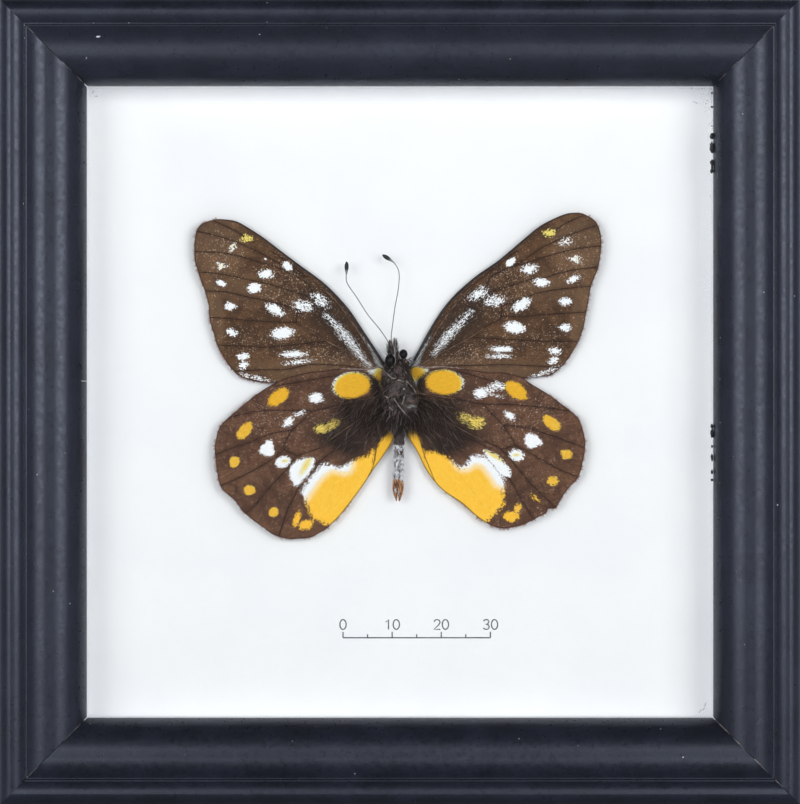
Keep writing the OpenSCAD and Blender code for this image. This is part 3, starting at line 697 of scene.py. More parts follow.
# The marks of each wing
LEFT_FOREWING_MARKS = [
    oval(-30.9, 30.0, 2.1, 1.5, 10, 0.6, ragged=0.3), oval(-33.8, 28.2, 1.0, 0.8, 60, 0.25, ragged=0.45),
    oval(-36.2, 24.5, 2.0, 1.4, 5, 0.2, ragged=0.35), oval(-36.1, 20.8, 2.1, 1.3, -25, ragged=0.12),
    oval(-34.3, 16.1, 2.4, 1.7, -12), oval(-33.9, 10.7, 2.2, 1.6, -25), oval(-31.6, 5.8, 2.5, 1.5),
    oval(-31.5, 4.0, 1.9, 1.4, 20, ragged=0.3), oval(-29.0, 1.4, 3.5, 0.5, -13, -0.3, ragged=0.35),
    oval(-22.6, 24.3, 2.4, 1.8, -40, ragged=0.12), oval(-26.9, 22.7, 3.1, 2.0),
    oval(-29.3, 19.8, 3.1, 2.3, 10, ragged=0.2), oval(-25.1, 15.4, 4.1, 2.1, -30),
    oval(-23.6, 10.6, 4.9, 2.8, 8), oval(-21.3, 6.3, 5.2, 1.5, 2, ragged=0.22),
    oval(-20.5, 4.7, 3.9, 0.62, 6, ragged=0.28),
    oval(-19.4, 16.1, 3.3, 2.1, -8, -0.2, ragged=0.5, solid=0.4),
    oval(-15.8, 17.3, 3.2, 1.8, -35, -0.2, ragged=0.5, solid=0.3),
    streak([(-14.8, 14.3, 0.0), (-13.0, 12.6, 0.2), (-10.6, 9.7, 0.45), (-8.4, 7.1, 0.33),
        (-6.9, 5.0, 0.12), (-5.6, 3.7, 0.0)], -0.26, 0.7, 0.1),
    streak([(-7.4, 10.4, 0.03), (-5.4, 7.2, 0.2), (-4.1, 4.8, 0.45), (-3.2, 3.4, 0.6)], -1.0, 0.25, 9.0),
    oval(-27.1, 25.8, 0.7, 0.5, ragged=0.05),
]
RIGHT_FOREWING_MARKS = [
    oval(31.0, 31.1, 2.3, 1.7, 0, 0.6, ragged=0.3), oval(34.4, 29.4, 1.5, 1.1, 20, 0.1, ragged=0.5),
    oval(36.5, 25.6, 2.1, 1.4, -10, 0.2, ragged=0.35), oval(36.1, 21.7, 2.4, 1.1, 28),
    oval(34.4, 17.0, 2.5, 1.7, 5), oval(34.4, 11.7, 2.4, 1.6, 5), oval(32.3, 6.9, 2.3, 1.5, -5),
    oval(32.0, 5.0, 2.1, 1.3, 15, ragged=0.3), oval(29.6, 2.3, 3.6, 0.5, 20, -0.2, ragged=0.35),
    oval(23.2, 25.1, 2.6, 1.6, 42, ragged=0.12), oval(26.9, 23.7, 3.3, 2.0, 10, ragged=0.3),
    oval(29.5, 21.0, 3.3, 1.9, -3, ragged=0.2), oval(25.4, 16.4, 4.3, 2.3, 33),
    oval(24.0, 11.7, 4.7, 2.7, -8), oval(21.2, 7.3, 4.3, 1.4, ragged=0.2),
    oval(20.8, 5.8, 3.5, 0.7, ragged=0.26), oval(16.5, 18.7, 3.2, 1.9, 32, -0.2, ragged=0.5, solid=0.4),
    oval(19.9, 17.3, 3.2, 2.0, 5, -0.2, ragged=0.5, solid=0.3),
    streak([(15.0, 15.0, 0.0), (13.4, 13.2, 0.24), (11.2, 10.9, 0.42), (9.0, 8.4, 0.3),
        (7.4, 6.4, 0.0)], -0.26, 0.7, 0.1),
    streak([(7.0, 10.2, 0.03), (5.2, 7.2, 0.2), (4.1, 5.0, 0.45), (3.4, 3.8, 0.6)], -1.0, 0.25, 9.0),
]
LEFT_HINDWING_MARKS = [
    oval(-9.4, -0.1, 8.3, 6.2, 6, gold_heart(-9.0, -0.45, 7.9, 5.9, 6, 0.8), ragged=0.22),
    patch([(-6.0, 2.6), (-5.6, 3.3), (-4.4, 3.9), (-3.5, 3.9), (-3.2, 2.4), (-3.3, 0.0), (-3.8, 1.0),
        (-5.0, 2.0)], gold_heart(-3.7, 1.6, 4.2, 2.4, 60, 1.6), 0.35, -0.6),
    oval(-24.4, -2.5, 5.3, 3.2, 38, 1.0, ragged=0.16), oval(-31.3, -9.4, 4.4, 2.7, 48, 0.88, ragged=0.16),
    oval(-33.4, -15.8, 2.6, 2.3, 60, 0.86, ragged=0.12), oval(-30.3, -21.6, 2.6, 2.4, 0, 0.86, ragged=0.1),
    oval(-25.4, -26.1, 2.3, 2.2, 40, 0.86, ragged=0.1),
    oval(-20.6, -27.5, 3.3, 1.6, 70, 1.0, ragged=0.2, bright=0.7),
    oval(-18.8, -28.7, 3.4, 2.2, 12, 1.0, bright=0.7),
    oval(-15.4, -9.0, 2.8, 2.0, 10, 0.68, ragged=0.35, solid=0.4),
    oval(-13.4, -8.2, 2.4, 1.6, 20, 0.68, ragged=0.4, solid=0.3), oval(-16.7, -2.7, 3.0, 2.4),
    oval(-22.4, -7.6, 2.5, 1.8, 38), oval(-20.2, -6.0, 1.6, 0.7, 25, ragged=0.4, solid=0.1),
    patch([(-26.4, -11.3), (-25.6, -11.6), (-25.4, -13.0), (-25.3, -14.2), (-26.6, -14.6), (-28.4, -13.7),
        (-27.6, -12.4)], 0.0),
    oval(-23.5, -15.8, 3.3, 2.6, 20, gold_heart(-23.1, -15.6, 0.2, 0.1, 0, 1.3), ragged=0.2),
    patch([(-17.5, -14.9), (-17.1, -15.6), (-17.3, -16.8), (-18.4, -18.6), (-20.6, -20.7), (-21.8, -19.6),
        (-22.2, -18.2), (-21.6, -16.6), (-20.1, -15.3)], gold_heart(-18.8, -16.5, 1.6, 0.5, 60, 1.9),
        0.25, 0.2),
    patch([(-4.8, -13.6), (-6.2, -14.6), (-8.6, -15.4), (-11.0, -16.6), (-12.6, -17.0), (-14.0, -16.4),
        (-15.6, -16.6), (-17.4, -18.6), (-19.7, -21.6), (-18.9, -23.4), (-18.3, -25.2), (-17.4, -27.2),
        (-15.4, -28.3), (-12.6, -28.6), (-8.2, -24.0), (-5.4, -19.6)], white_along([(-11.0, -16.3),
        (-13.6, -15.8), (-15.6, -16.8), (-17.6, -18.8), (-20.0, -22.2)], 0.9, 2.2), 0.4),
    patch([(-0.6, -8.9), (-1.5, -9.3), (-3.2, -11.3), (-4.5, -13.5), (-4.8, -15.5), (-5.5, -17.6),
        (-6.7, -20.6), (-3.0, -16.0), (0.2, -11.0)], 1.0, 0.25, 0.5),
]
RIGHT_HINDWING_MARKS = [
    oval(9.6, 0.5, 8.3, 5.9, -2, gold_heart(9.25, 0.3, 7.9, 5.7, -2, 0.8), ragged=0.22),
    patch([(2.7, 3.4), (4.0, 3.9), (5.6, 3.6), (6.2, 2.9), (5.0, 2.0), (4.0, 1.2), (3.5, -0.3),
        (2.9, 1.0)], gold_heart(4.0, 2.4, 3.6, 3.0, -40, 1.6), 0.35, -0.6),
    oval(24.3, -1.2, 5.6, 3.5, -36, 1.0, ragged=0.16), oval(31.6, -7.8, 4.6, 2.7, -40, 0.88, ragged=0.16),
    oval(34.6, -14.2, 2.5, 2.3, -30, 0.86, ragged=0.2), oval(31.8, -19.7, 2.5, 2.1, 0, 0.84, ragged=0.18),
    oval(28.1, -23.1, 1.4, 0.6, -40, 0.86, ragged=0.3),
    oval(23.2, -27.0, 3.5, 2.5, -8, 1.0, ragged=0.2, bright=0.7),
    oval(24.6, -25.5, 2.3, 1.6, 60, 0.9, bright=0.5),
    oval(14.2, -7.0, 2.6, 1.4, -25, 0.66, ragged=0.5, solid=0.2),
    oval(16.2, -7.8, 3.2, 2.2, 5, 0.68, ragged=0.45, solid=0.4), oval(17.1, -1.7, 3.0, 2.4, 10, ragged=0.3),
    streak([(18.4, -1.2, 0.3), (20.2, -0.4, 0.5), (22.0, -0.3, 0.3)], ragged=0.7),
    streak([(18.8, -1.9, 0.08), (21.6, -2.5, 0.12)], ragged=0.3),
    oval(23.0, -6.3, 2.7, 1.6, -40, ragged=0.2),
    patch([(26.2, -10.5), (27.1, -9.9), (28.3, -10.3), (29.7, -11.8), (28.3, -12.7), (27.1, -12.9),
        (26.1, -12.0)], 0.0),
    oval(24.4, -14.4, 3.3, 2.6, -20, gold_heart(24.3, -14.4, 0.2, 0.1, 0, 1.3), ragged=0.2),
    patch([(17.7, -13.4), (18.6, -13.6), (20.4, -14.4), (22.0, -16.2), (23.2, -17.8), (22.6, -19.0),
        (20.9, -18.4), (19.4, -16.4), (18.2, -14.8)], gold_heart(19.9, -14.5, 2.4, 0.5, -32, 1.2),
        0.25, 0.3),
    patch([(5.0, -13.6), (6.0, -14.0), (7.4, -13.8), (9.7, -14.6), (12.0, -16.4), (13.1, -17.1),
        (14.3, -16.0), (15.4, -14.6), (17.7, -14.7), (18.9, -15.4), (20.6, -17.6), (22.0, -20.0),
        (21.6, -21.6), (21.7, -24.4), (20.3, -26.1), (19.0, -27.4), (17.0, -28.4), (12.0, -25.0),
        (7.0, -20.0)], white_along([(13.8, -15.2), (15.4, -14.2), (18.4, -14.8), (20.4, -16.9),
        (21.6, -18.8)], 1.3, 2.2), 0.4),
    patch([(1.6, -8.6), (3.3, -9.2), (4.6, -11.2), (5.2, -13.5), (6.2, -16.0), (7.6, -19.4), (6.0, -19.0),
        (2.4, -12.0)], 1.0, 0.25, 0.5),
]


# Fine folds over the golden patches, each with how faint it is
LEFT_FOLDS = (
    ([(-11.8, -17.6), (-13.0, -20.4), (-14.6, -25.1)], 0.1),
    ([(-4.3, -12.6), (-4.7, -15.2), (-5.3, -17.4), (-6.8, -20.2)], 0.0),
)
RIGHT_FOLDS = (
    ([(12.3, -17.5), (13.1, -18.9), (15.4, -21.8), (16.9, -23.8), (18.3, -26.5)], 0.1),
    ([(4.8, -12.0), (5.5, -14.4), (6.2, -16.2), (7.6, -19.6)], 0.0),
)


# Hazes of the right wings' ground: field, X, Z, length, width, angle, strength and softness
FOREWING_HAZES = (
    ("dust", 22, 19.5, 14, 9, 35, 0.1, 3), ("dust", 27, 9, 16, 5, 0, 0.06, 3),
    ("dust", 13, 5.5, 14, 4, 15, 0.14, 2.5), ("dust", 36, 26, 8, 10, 0, 0.08, 4),
    ("dust", 11, 14.5, 17, 2.5, 50, 0.08, 1.6), ("dust", 20, 21.5, 9, 1.0, 40, 0.3, 0.7),
    ("base", 4.5, 6.0, 16, 3.4, 55, 0.75, 3), ("base", 12.5, 12.5, 22, 8, 48, 0.6, 4),
    ("wash", 37, 28, 12, 14, 0, 0.85, 5), ("wash", 38.5, 13, 6, 18, 0, 1.0, 3.5),
    ("wash", 17, 3.2, 26, 3.5, 0, 1.15, 2.5), ("wash", 32, 20, 13, 7, 0, 0.7, 4),
)
HINDWING_HAZES = (
    ("base", 8.0, -7.6, 16, 8, 38, 0.9, 6), ("base", 3, 0, 6, 7, 0, 1.0, 3),
    ("base", 11, -11.2, 14, 7, 25, 0.9, 4), ("base", 28.3, -18.6, 5, 1.4, 42, 0.4, 1.2),
    ("base", 24.6, -22.6, 4, 1.2, 58, 0.35, 1.2), ("dust", 27, -7, 16, 5, 25, 0.07, 3),
    ("dust", 14, -6, 8, 5, 0, 0.05, 3),
)


def grounds_of(hazes, side):
    """The hazes as fields, mirrored on the left side."""
    return [(field, haze(side * x, z, length, width, side * angle, strength, soft))
            for field, x, z, length, width, angle, strength, soft in hazes]


def make_fringe(name, outline_part, heights, material, rng):
    """Short scales that stand out along a wing's margin."""
    rim = smooth_curve(outline_part, 0.08)
    ahead = np.gradient(rim, axis=0)
    out = np.stack([-ahead[:, 1], ahead[:, 0]], axis=1)
    out /= np.linalg.norm(out, axis=1)[:, None]
    centre = rim.mean(0) * 0.6
    out *= np.sign(((rim - centre) * out).sum(1))[:, None]
    lift = heights(rim) - WING_THICKNESS / 2
    roots = on_board(rim[:, 0] - 0.1 * out[:, 0], lift, rim[:, 1] - 0.1 * out[:, 1])
    ways = np.stack([out[:, 0], 0.1 * rng.normal(size=len(rim)), out[:, 1]], axis=1)
    ways += 0.25 * rng.normal(size=ways.shape) * (1, 0.3, 1)
    clumps = np.array([waver(x * 0.9, z * 0.9, 1) + waver(x * 2.6, z * 2.6, 4) for x, z in rim])
    lengths = np.clip(0.38 + 0.5 * clumps, 0.12, 0.7) * rng.uniform(0.6, 1.2, len(rim))
    strands(name, roots, ways, lengths, 0.06, material, rng, 0.05)


def make_wings(rng):
    """The four wings, each with a fringe and with ribs over its costa and its thickest veins."""
    forewing = wing_look("forewing_scales", (93, 66, 44), (70, 49, 34), (200, 178, 158))
    hindwing = wing_look("hindwing_scales", (106, 75, 56), (82, 56, 43), (196, 178, 166))
    fringe = hair_look("wing_fringe", (92, 44, 36), (142, 80, 66), (196, 150, 138), 0.2)
    dark = skin_look("costa_ribs", (26, 22, 26), (52, 44, 48), 2.5, 0.45, 0.02)
    # The pale rib on each hindwing's costa is a painted highlight along that vein's edge
    pale = skin_look("painted_costa_highlight", (112, 92, 84), (164, 148, 142), 1.4, 0.5, 0.02)
    # Tan vein ribs: the veins' paler colour towards the root, and partly a painted highlight on their ridges
    tan = skin_look("tan_ribs_and_highlights", (78, 56, 42), (132, 106, 86), 0.6, 0.5, 0.02)

    # Of each kind: lift, hazes, material, the stretch of the outline under the costa, its look and radii,
    # and the veins that carry a rib with the number of points that it follows
    kinds = {
        "forewing": (FOREWING_LIFT, FOREWING_HAZES, forewing, slice(0, 12), dark, (0.3, 0.18, 0.06),
                     ((8, 5), (9, 6))),
        "hindwing": (HINDWING_LIFT, HINDWING_HAZES, hindwing, slice(2, 6), pale, (0.24, 0.12, 0.03),
                     ((0, 3), (5, 4))),
    }
    wings = (
        ("forewing", "left", LEFT_FOREWING, LEFT_FOREWING_VEINS, LEFT_FOREWING_MARKS, slice(11, 30), ()),
        ("forewing", "right", RIGHT_FOREWING, RIGHT_FOREWING_VEINS, RIGHT_FOREWING_MARKS, slice(12, 29), ()),
        ("hindwing", "left", LEFT_HINDWING, LEFT_HINDWING_VEINS, LEFT_HINDWING_MARKS, slice(10, 30),
         LEFT_FOLDS),
        ("hindwing", "right", RIGHT_HINDWING, RIGHT_HINDWING_VEINS, RIGHT_HINDWING_MARKS, slice(10, 32),
         RIGHT_FOLDS),
    )
    for kind, hand, outline, veins, marks, margin, lines in wings:
        lift, hazes, material, costa, costa_look, costa_radii, ribbed = kinds[kind]
        name, slot = kind + "_" + hand, kind + "_scales"
        grounds = grounds_of(hazes, -1 if hand == "left" else 1)
        heights = make_wing(name, outline, veins, lift, marks, grounds, material, lines)
        make_fringe(name + "_fringe", outline[margin], heights, fringe, rng)
        ribs = [("costa", outline[costa], costa_look, costa_radii, -0.02)]
        ribs += [("rib_" + str(k), veins[k][:last], tan, (0.09, 0.08, 0.03), 0.01) for k, last in ribbed]
        for label, points, look, sizes, rise in ribs:
            curve = smooth_curve(points, 0.3)
            places = np.stack([curve[:, 0], heights(curve) + rise, curve[:, 1]], axis=1)
            radii = np.interp(np.arange(len(curve)), (0, len(curve) * 0.7, len(curve) - 1), sizes)
            make_piece(name + "_" + label, [tube_mesh(at_specimen(places), radii, 8)], look)


# Thorax seen from the front: Z, left edge, right edge and rise above the body's axis, from the bottom up
THORAX = np.array([
    (-10.6, -0.7, 1.1, 0.8), (-10.0, -1.1, 1.5, 1.2), (-8.6, -1.7, 1.9, 1.7), (-7.1, -2.1, 2.3, 2.0),
    (-6.2, -2.5, 3.4, 2.4), (-5.0, -2.9, 4.0, 2.7), (-3.5, -3.3, 4.2, 2.9), (-1.5, -3.5, 4.1, 2.9),
    (0.5, -3.5, 3.5, 2.8), (2.5, -3.2, 2.9, 2.6), (4.0, -2.7, 2.8, 2.2), (5.0, -2.2, 2.7, 1.8),
    (5.6, -1.7, 2.2, 1.3),
])

# Lumps of the thorax: X, lift and Z of the middle, then width and height
LUMPS = np.array([
    (2.9, 5.2, -3.0, 1.14, 0.7), (1.8, 5.8, -5.6, 0.66, 0.45), (-1.2, 6.0, -1.2, 0.78, 0.35),
    (0.9, 6.0, 1.0, 0.66, 0.4), (-2.0, 5.0, 1.8, 0.6, 0.4), (3.6, 4.2, -1.0, 0.6, 0.4),
    (0.4, 5.4, 3.4, 0.72, 0.4), (-1.6, 5.4, -4.6, 0.72, 0.35), (0.6, 5.9, -3.4, 0.48, -0.45),
])


def thorax_at(z):
    """Middle, half width and rise of the thorax at a height."""
    left, right, rise = (float(np.interp(z, THORAX[:, 0], THORAX[:, k])) for k in (1, 2, 3))
    return (left + right) / 2, (right - left) / 2, rise


def thorax_surface(x, z, out):
    """Place above the thorax's skin at X and Z, in the specimen's axes."""
    middle, half, rise = thorax_at(z)
    return (x, BODY_LIFT + rise * math.sqrt(max(0.02, 1 - ((x - middle) / half) ** 2)) + out, z)


def thorax_mesh(rows=70, turns=56):
    """The lumpy skin of the thorax, closed above and below."""
    verts = []
    for i in range(rows + 1):
        tilt = math.pi * i / rows
        z = float(np.interp(math.cos(tilt), (-1, 1), (THORAX[0, 0], THORAX[-1, 0])))
        middle, half, rise = thorax_at(z)
        close = max(0.02, math.sin(tilt)) ** 0.25
        for turn in circle(turns):
            way = np.array((half * math.cos(turn), rise * math.sin(turn), 0)) * close
            place = np.array((middle, BODY_LIFT, z)) + way
            gap2 = ((place - LUMPS[:, :3]) ** 2).sum(1)
            push = (LUMPS[:, 4] * np.exp(-gap2 / (2 * LUMPS[:, 3] ** 2))).sum()
            push += 0.2 * waver(*place * 0.9) + 0.1 * waver(*place * 2.4)
            verts.append(place + push * way / max(0.5, np.linalg.norm(way)))
    return at_specimen(verts), ring_faces(rows + 1, turns, downward=True)


def make_thorax(rng):
    skin = skin_look("thorax_skin", (22, 16, 15), (78, 63, 60), 0.9, 0.45, 0.16)
    make_piece("thorax_skin", [thorax_mesh()], skin, "thorax")

    # Matted fur over the thorax, longer towards the abdomen
    fur = hair_look("body_fur", (18, 13, 12), (68, 56, 54), (176, 164, 160), 0.12)
    hairs = []
    for _ in range(THORAX_HAIRS):
        z = rng.uniform(-9.6, 5.4)
        middle, half, _rise = thorax_at(z)
        x = middle + rng.uniform(-1, 1) * half
        drift = waver(x * 0.5, z * 0.5, 3)
        way = ((x - middle) * 0.3 + 0.9 * drift + 0.2 * rng.normal(), 0.25, -1 + 0.25 * rng.normal())
        length = min(rng.uniform(0.4, 1.0) * (1.0 if z > -5 else 1.9), z + 11.0)
        hairs.append((thorax_surface(x, z, 0.05), way, length))
    lay_hairs("thorax_fur", hairs, 0.045, fur, rng, 0.22)

    # Small tufts of pale scales: X, Z, half width, half height and number of scales
    pale = hair_look("thorax_tufts", (96, 98, 94), (150, 156, 152), (236, 236, 238), 0.12)
    hairs = []
    for x, z, wide, tall, count in (
        (3.0, -4.3, 0.8, 0.3, 110), (1.25, -0.85, 0.14, 0.14, 14), (2.1, -4.6, 0.16, 0.2, 16),
        (0.2, -0.7, 0.3, 0.12, 8), (-1.6, -1.2, 0.12, 0.1, 6),
    ):
        for _ in range(count):
            dx, dz = wide * rng.uniform(-1, 1), tall * rng.uniform(-1, 1)
            way = (0.6 + 0.3 * rng.normal(), 0.5, -0.2 + 0.3 * rng.normal())
            hairs.append((thorax_surface(x + dx, z + dz - 0.25 * dx * dx, 0.3), way, rng.uniform(0.25, 0.45)))
    lay_hairs("thorax_tufts", hairs, 0.07, pale, rng, 0.1)


def make_root_hairs(rng):
    """Long hairs that fan out over the roots of the hindwings."""
    look = hair_look("hindwing_root_hairs", (26, 17, 13), (66, 50, 42), (142, 126, 118), 0.2)
    for side, name in ((-1, "left"), (1, "right")):
        hairs = []
        for _ in range(ROOT_HAIRS):
            share, away = rng.random(), rng.random() ** 2
            z = -1.8 - 6.6 * share - 1.5 * away * (1 - share)
            x = side * (3.3 - 1.8 * share + 8.0 * away * (1 - 0.7 * share)) + (0.5 if side > 0 else 0.0)
            angle = math.radians(40 + 40 * share + 8 * away) + 0.2 * rng.normal()
            root = (x, HINDWING_LIFT + 0.3 + 0.5 * rng.random(), z + 0.4 * rng.normal())
            way = (side * math.cos(angle), -0.02 + 0.03 * rng.random(), -math.sin(angle))
            hairs.append((root, way, min(rng.uniform(1.8, 5.5) * (1.1 - 0.4 * share), 12.2 + z)))
        lay_hairs("hindwing_root_hairs_" + name, hairs, 0.046, look, rng, 0.3)


def make_base_hairs(rng):
    """Fine hairs spread over the dark base of each hindwing, down to its golden patch."""
    look = hair_look("hindwing_base_hairs", (34, 24, 20), (84, 68, 60), (150, 136, 130), 0.25)
    for side, name in ((-1, "left"), (1, "right")):
        hairs = []
        while len(hairs) < BASE_HAIRS:
            out, z = rng.uniform(4.0, 14.5), rng.uniform(-13.0, -5.0)
            angle = math.radians(48 + 12 * rng.normal())
            room = (z + 12.6 + 0.32 * (out - 4.5)) / math.sin(angle)
            if room > 0.7 and (z + 9) / 6 < 1 - (out - 6) / 12:
                root = (side * out, HINDWING_LIFT + 0.25 + 0.3 * rng.random(), z)
                way = (side * math.cos(angle), 0.02 * rng.normal(), -math.sin(angle))
                hairs.append((root, way, min(rng.uniform(1.0, 3.2), room)))
        lay_hairs("hindwing_base_hairs_" + name, hairs, 0.034, look, rng, 0.25)


# Eyes: X and Z of the middle, half width, half height, and the first and last angle of their pale hairs
EYES = ((-1.5, 4.9, 1.06, 1.42, -80, 50), (1.2, 6.25, 0.86, 0.98, 140, 230))


def make_head():
    skin = skin_look("head_skin", (34, 28, 29), (72, 62, 61), 1.2, 0.5, 0.08)
    verts, faces = ball_mesh((-0.2, BODY_LIFT + 0.1, 5.4), (1.5, 1.5, 1.5), 32, 24,
                             lambda way: 1 + 0.05 * waver(*way * 3))
    make_piece("head_capsule", [(at_specimen(verts), faces)], skin, "head")


def make_eyes():
    """Two faceted domes."""
    look = Look("eye_shell", Roughness=0.36, Specular_IOR_Level=0.2)
    facets = look.cells(9)
    shell = look.done(look.mix(look.fade(facets, 0.1, 0.5), rgb(14, 11, 14), rgb(5, 4, 6)), facets, 0.01, 0.4)
    domes = []
    for x, z, wide, tall, _first, _last in EYES:
        points, polygons = ball_mesh((x, BODY_LIFT + 1.35, z), (wide, 1.0, tall), 40, 28)
        domes.append((at_specimen(points), polygons))
    make_piece("eye_domes", domes, shell, "eyes")


def make_head_fur(rng):
    fur = hair_look("head_fur", (18, 15, 16), (68, 58, 57), (196, 188, 184), 0.22)
    hairs = []
    for _ in range(HEAD_HAIRS):
        turn, tilt = rng.uniform(0, 2 * math.pi), math.acos(rng.uniform(-0.3, 1))
        out = np.array((math.sin(tilt) * math.cos(turn), math.cos(tilt), math.sin(tilt) * math.sin(turn)))
        way = out * 0.6 + np.array((0.1, 0.1, -0.3)) + 0.3 * rng.normal(size=3)
        hairs.append((np.array((-0.1, BODY_LIFT + 0.1, 5.2)) + out * 1.45, way, rng.uniform(0.4, 0.9)))
    lay_hairs("head_fur", hairs, 0.05, fur, rng, 0.2)


def make_eye_rims(rng):
    """A pale crescent of hairs round the inner side of each eye."""
    pale = hair_look("eye_rim_hairs", (110, 102, 100), (176, 168, 162), (225, 218, 210), 0.4)
    hairs = []
    for x, z, wide, tall, first, last in EYES:
        for _ in range(EYE_HAIRS):
            turn = math.radians(rng.uniform(first, last))
            reach = rng.uniform(0.98, 1.1)
            root = (x + wide * reach * math.cos(turn), BODY_LIFT + rng.uniform(1.5, 2.1),
                    z + tall * reach * math.sin(turn))
            way = (-0.6 * math.sin(turn), 0.4, 0.6 * math.cos(turn) + 0.2 * rng.normal())
            hairs.append((root, way, rng.uniform(0.3, 0.5)))
    lay_hairs("eye_rim_hairs", hairs, 0.05, pale, rng, 0.2)


def make_palps(rng):
    """Two brushes of stiff dark hairs in front of the head."""
    brush = hair_look("palp_hairs", (22, 17, 19), (74, 64, 64), (176, 170, 170), 0.3)
    hairs = []
    for middle, lean, tip in ((-1.45, -0.1, 9.3), (-0.5, 0.0, 9.9)):
        for _ in range(PALP_HAIRS):
            share = rng.random() ** 0.8
            z = 5.2 + 3.0 * share
            x = middle + 0.32 * rng.normal() * (1 - 0.75 * share)
            root = (x, BODY_LIFT + 1.1 + 0.35 * rng.normal(), z)
            way = (lean + 0.24 * rng.normal() * (1.1 - 0.5 * share), 0.15 * rng.normal(), 1.0)
            hairs.append((root, way, min((tip - z) * rng.uniform(0.45, 1.0), rng.uniform(0.9, 2.2))))
    lay_hairs("palp_brushes", hairs, 0.07, brush, rng, 0.1, "palps")


# Each antenna from its root to its tip, as X, lift and Z
ANTENNAE = {
    "antenna_left": [
        (-0.9, 3.0, 6.2), (-1.4, 3.0, 7.4), (-2.0, 3.1, 8.9), (-3.6, 3.2, 11.3), (-6.2, 3.3, 14.5),
        (-8.3, 3.3, 17.8), (-10.1, 3.3, 20.4), (-10.5, 3.3, 21.7), (-10.45, 3.3, 23.0), (-10.4, 3.3, 25.2),
    ],
    "antenna_right": [
        (-0.4, 3.0, 6.2), (-0.9, 3.0, 7.6), (-1.3, 3.1, 9.5), (-1.0, 3.2, 12.3), (-0.5, 3.3, 16.0),
        (0.1, 3.4, 19.2), (0.35, 3.4, 21.9), (0.2, 3.4, 23.4), (-0.3, 3.4, 24.4), (-1.0, 3.4, 25.2),
        (-3.1, 3.4, 26.6),
    ],
}


def make_antennae():
    """A thin ringed shaft that swells to a club."""
    shell = Look("antenna_shell", Roughness=0.42, IOR=1.45)
    rings = shell.fade(shell.math("FRACT", shell.product(shell.field("along"), 2.2)), 0.3, 0.7)
    shaft = shell.mix(rings, rgb(64, 60, 62), rgb(112, 108, 110))
    club = shell.mix(shell.fade(shell.noise(2.5), 0.5, 0.75), rgb(14, 13, 14), rgb(56, 56, 54))
    share = shell.field("club")
    neck = shell.mix(shell.fade(share, 0.35, 0.5), rgb(120, 118, 116), club)
    shell.set("Base Color", shell.mix(shell.fade(share, 0.0, 0.2), shaft, neck))
    sides = 12
    for name, points in ANTENNAE.items():
        curve = smooth_curve(points, 0.12)
        step = np.linalg.norm(np.diff(curve, axis=0), axis=1)
        along = np.concatenate([[0], np.cumsum(step)])
        share = np.clip(1 - (along[-1] - along) / 3.0, 0, 1)
        swell = np.where(share > 0, np.sin(np.pi * share**1.7) ** 0.9, 0)
        radii = 0.088 * (1 + 0.12 * np.sin(along * 14)) + 0.34 * swell
        radii[-1] = 0.05
        fields = {"along": np.repeat(along, sides), "club": np.repeat(share, sides)}
        tube = tube_mesh(at_specimen(curve), radii, sides)
        make_piece(name + "_shaft", [tube], shell.material, name, fields)


# Segments of the folded legs over the thorax, as X and Z
LEGS = [
    [(-3.0, 3.1), (-2.0, 2.2), (-1.3, 1.5), (-0.4, 1.2)], [(0.0, 1.0), (0.8, 0.8), (1.4, 0.6)],
    [(1.7, 0.8), (2.6, 0.0), (3.4, -1.0), (3.8, -2.2)], [(3.6, -2.6), (3.9, -3.2), (3.8, -3.9)],
    [(-0.8, -2.7), (0.0, -3.9), (0.9, -5.1), (1.9, -6.2), (2.9, -6.7)],
    [(1.4, -2.4), (1.2, -3.2), (0.9, -4.0)], [(1.6, 4.6), (2.3, 5.3), (2.9, 5.6)],
    [(-2.6, -2.3), (-2.1, -2.6), (-1.9, -2.6)], [(-1.7, -4.6), (-1.2, -5.0), (-0.9, -5.3)],
]


def make_legs(rng):
    shell = skin_look("leg_shell", (92, 82, 80), (162, 152, 148), 1.6, 0.5, 0.03)
    hair = hair_look("leg_hairs", (60, 52, 50), (120, 112, 108), (190, 184, 180), 0.3)
    height = 0.42
    parts, hairs = [], []
    for line in LEGS:
        curve = smooth_curve(line, 0.15)
        share = np.linspace(0, 1, len(curve))
        radii = 0.115 - 0.035 * share + 0.05 * np.exp(-((share - 0.45) / 0.05) ** 2)
        radii[[0, -1]] = 0.05
        parts.append(tube_mesh(at_specimen([thorax_surface(x, z, height) for x, z in curve]), radii, 8))
        for x, z in smooth_curve(line, 0.12):
            way = 0.6 * rng.normal(size=3) + (0, 0.5, -0.5)
            hairs.append((thorax_surface(x, z, height), way, rng.uniform(0.2, 0.4)))
    make_piece("folded_legs", parts, shell, "legs")
    lay_hairs("leg_hairs", hairs, 0.03, hair, rng, 0.1)


# The abdomen's root, length, lean along its axis and number of segments
ABDOMEN_TOP = np.array((0.45, BODY_LIFT, -8.4))
ABDOMEN_LENGTH = 11.2
ABDOMEN_LEAN = np.array((-math.tan(math.radians(1.8)), -math.tan(math.radians(4)), -1.0))
ABDOMEN_SEGMENTS = 8


def on_abdomen(share):
    """A place on the abdomen's axis, at a share of its length."""
    return ABDOMEN_TOP + ABDOMEN_LEAN * ABDOMEN_LENGTH * share


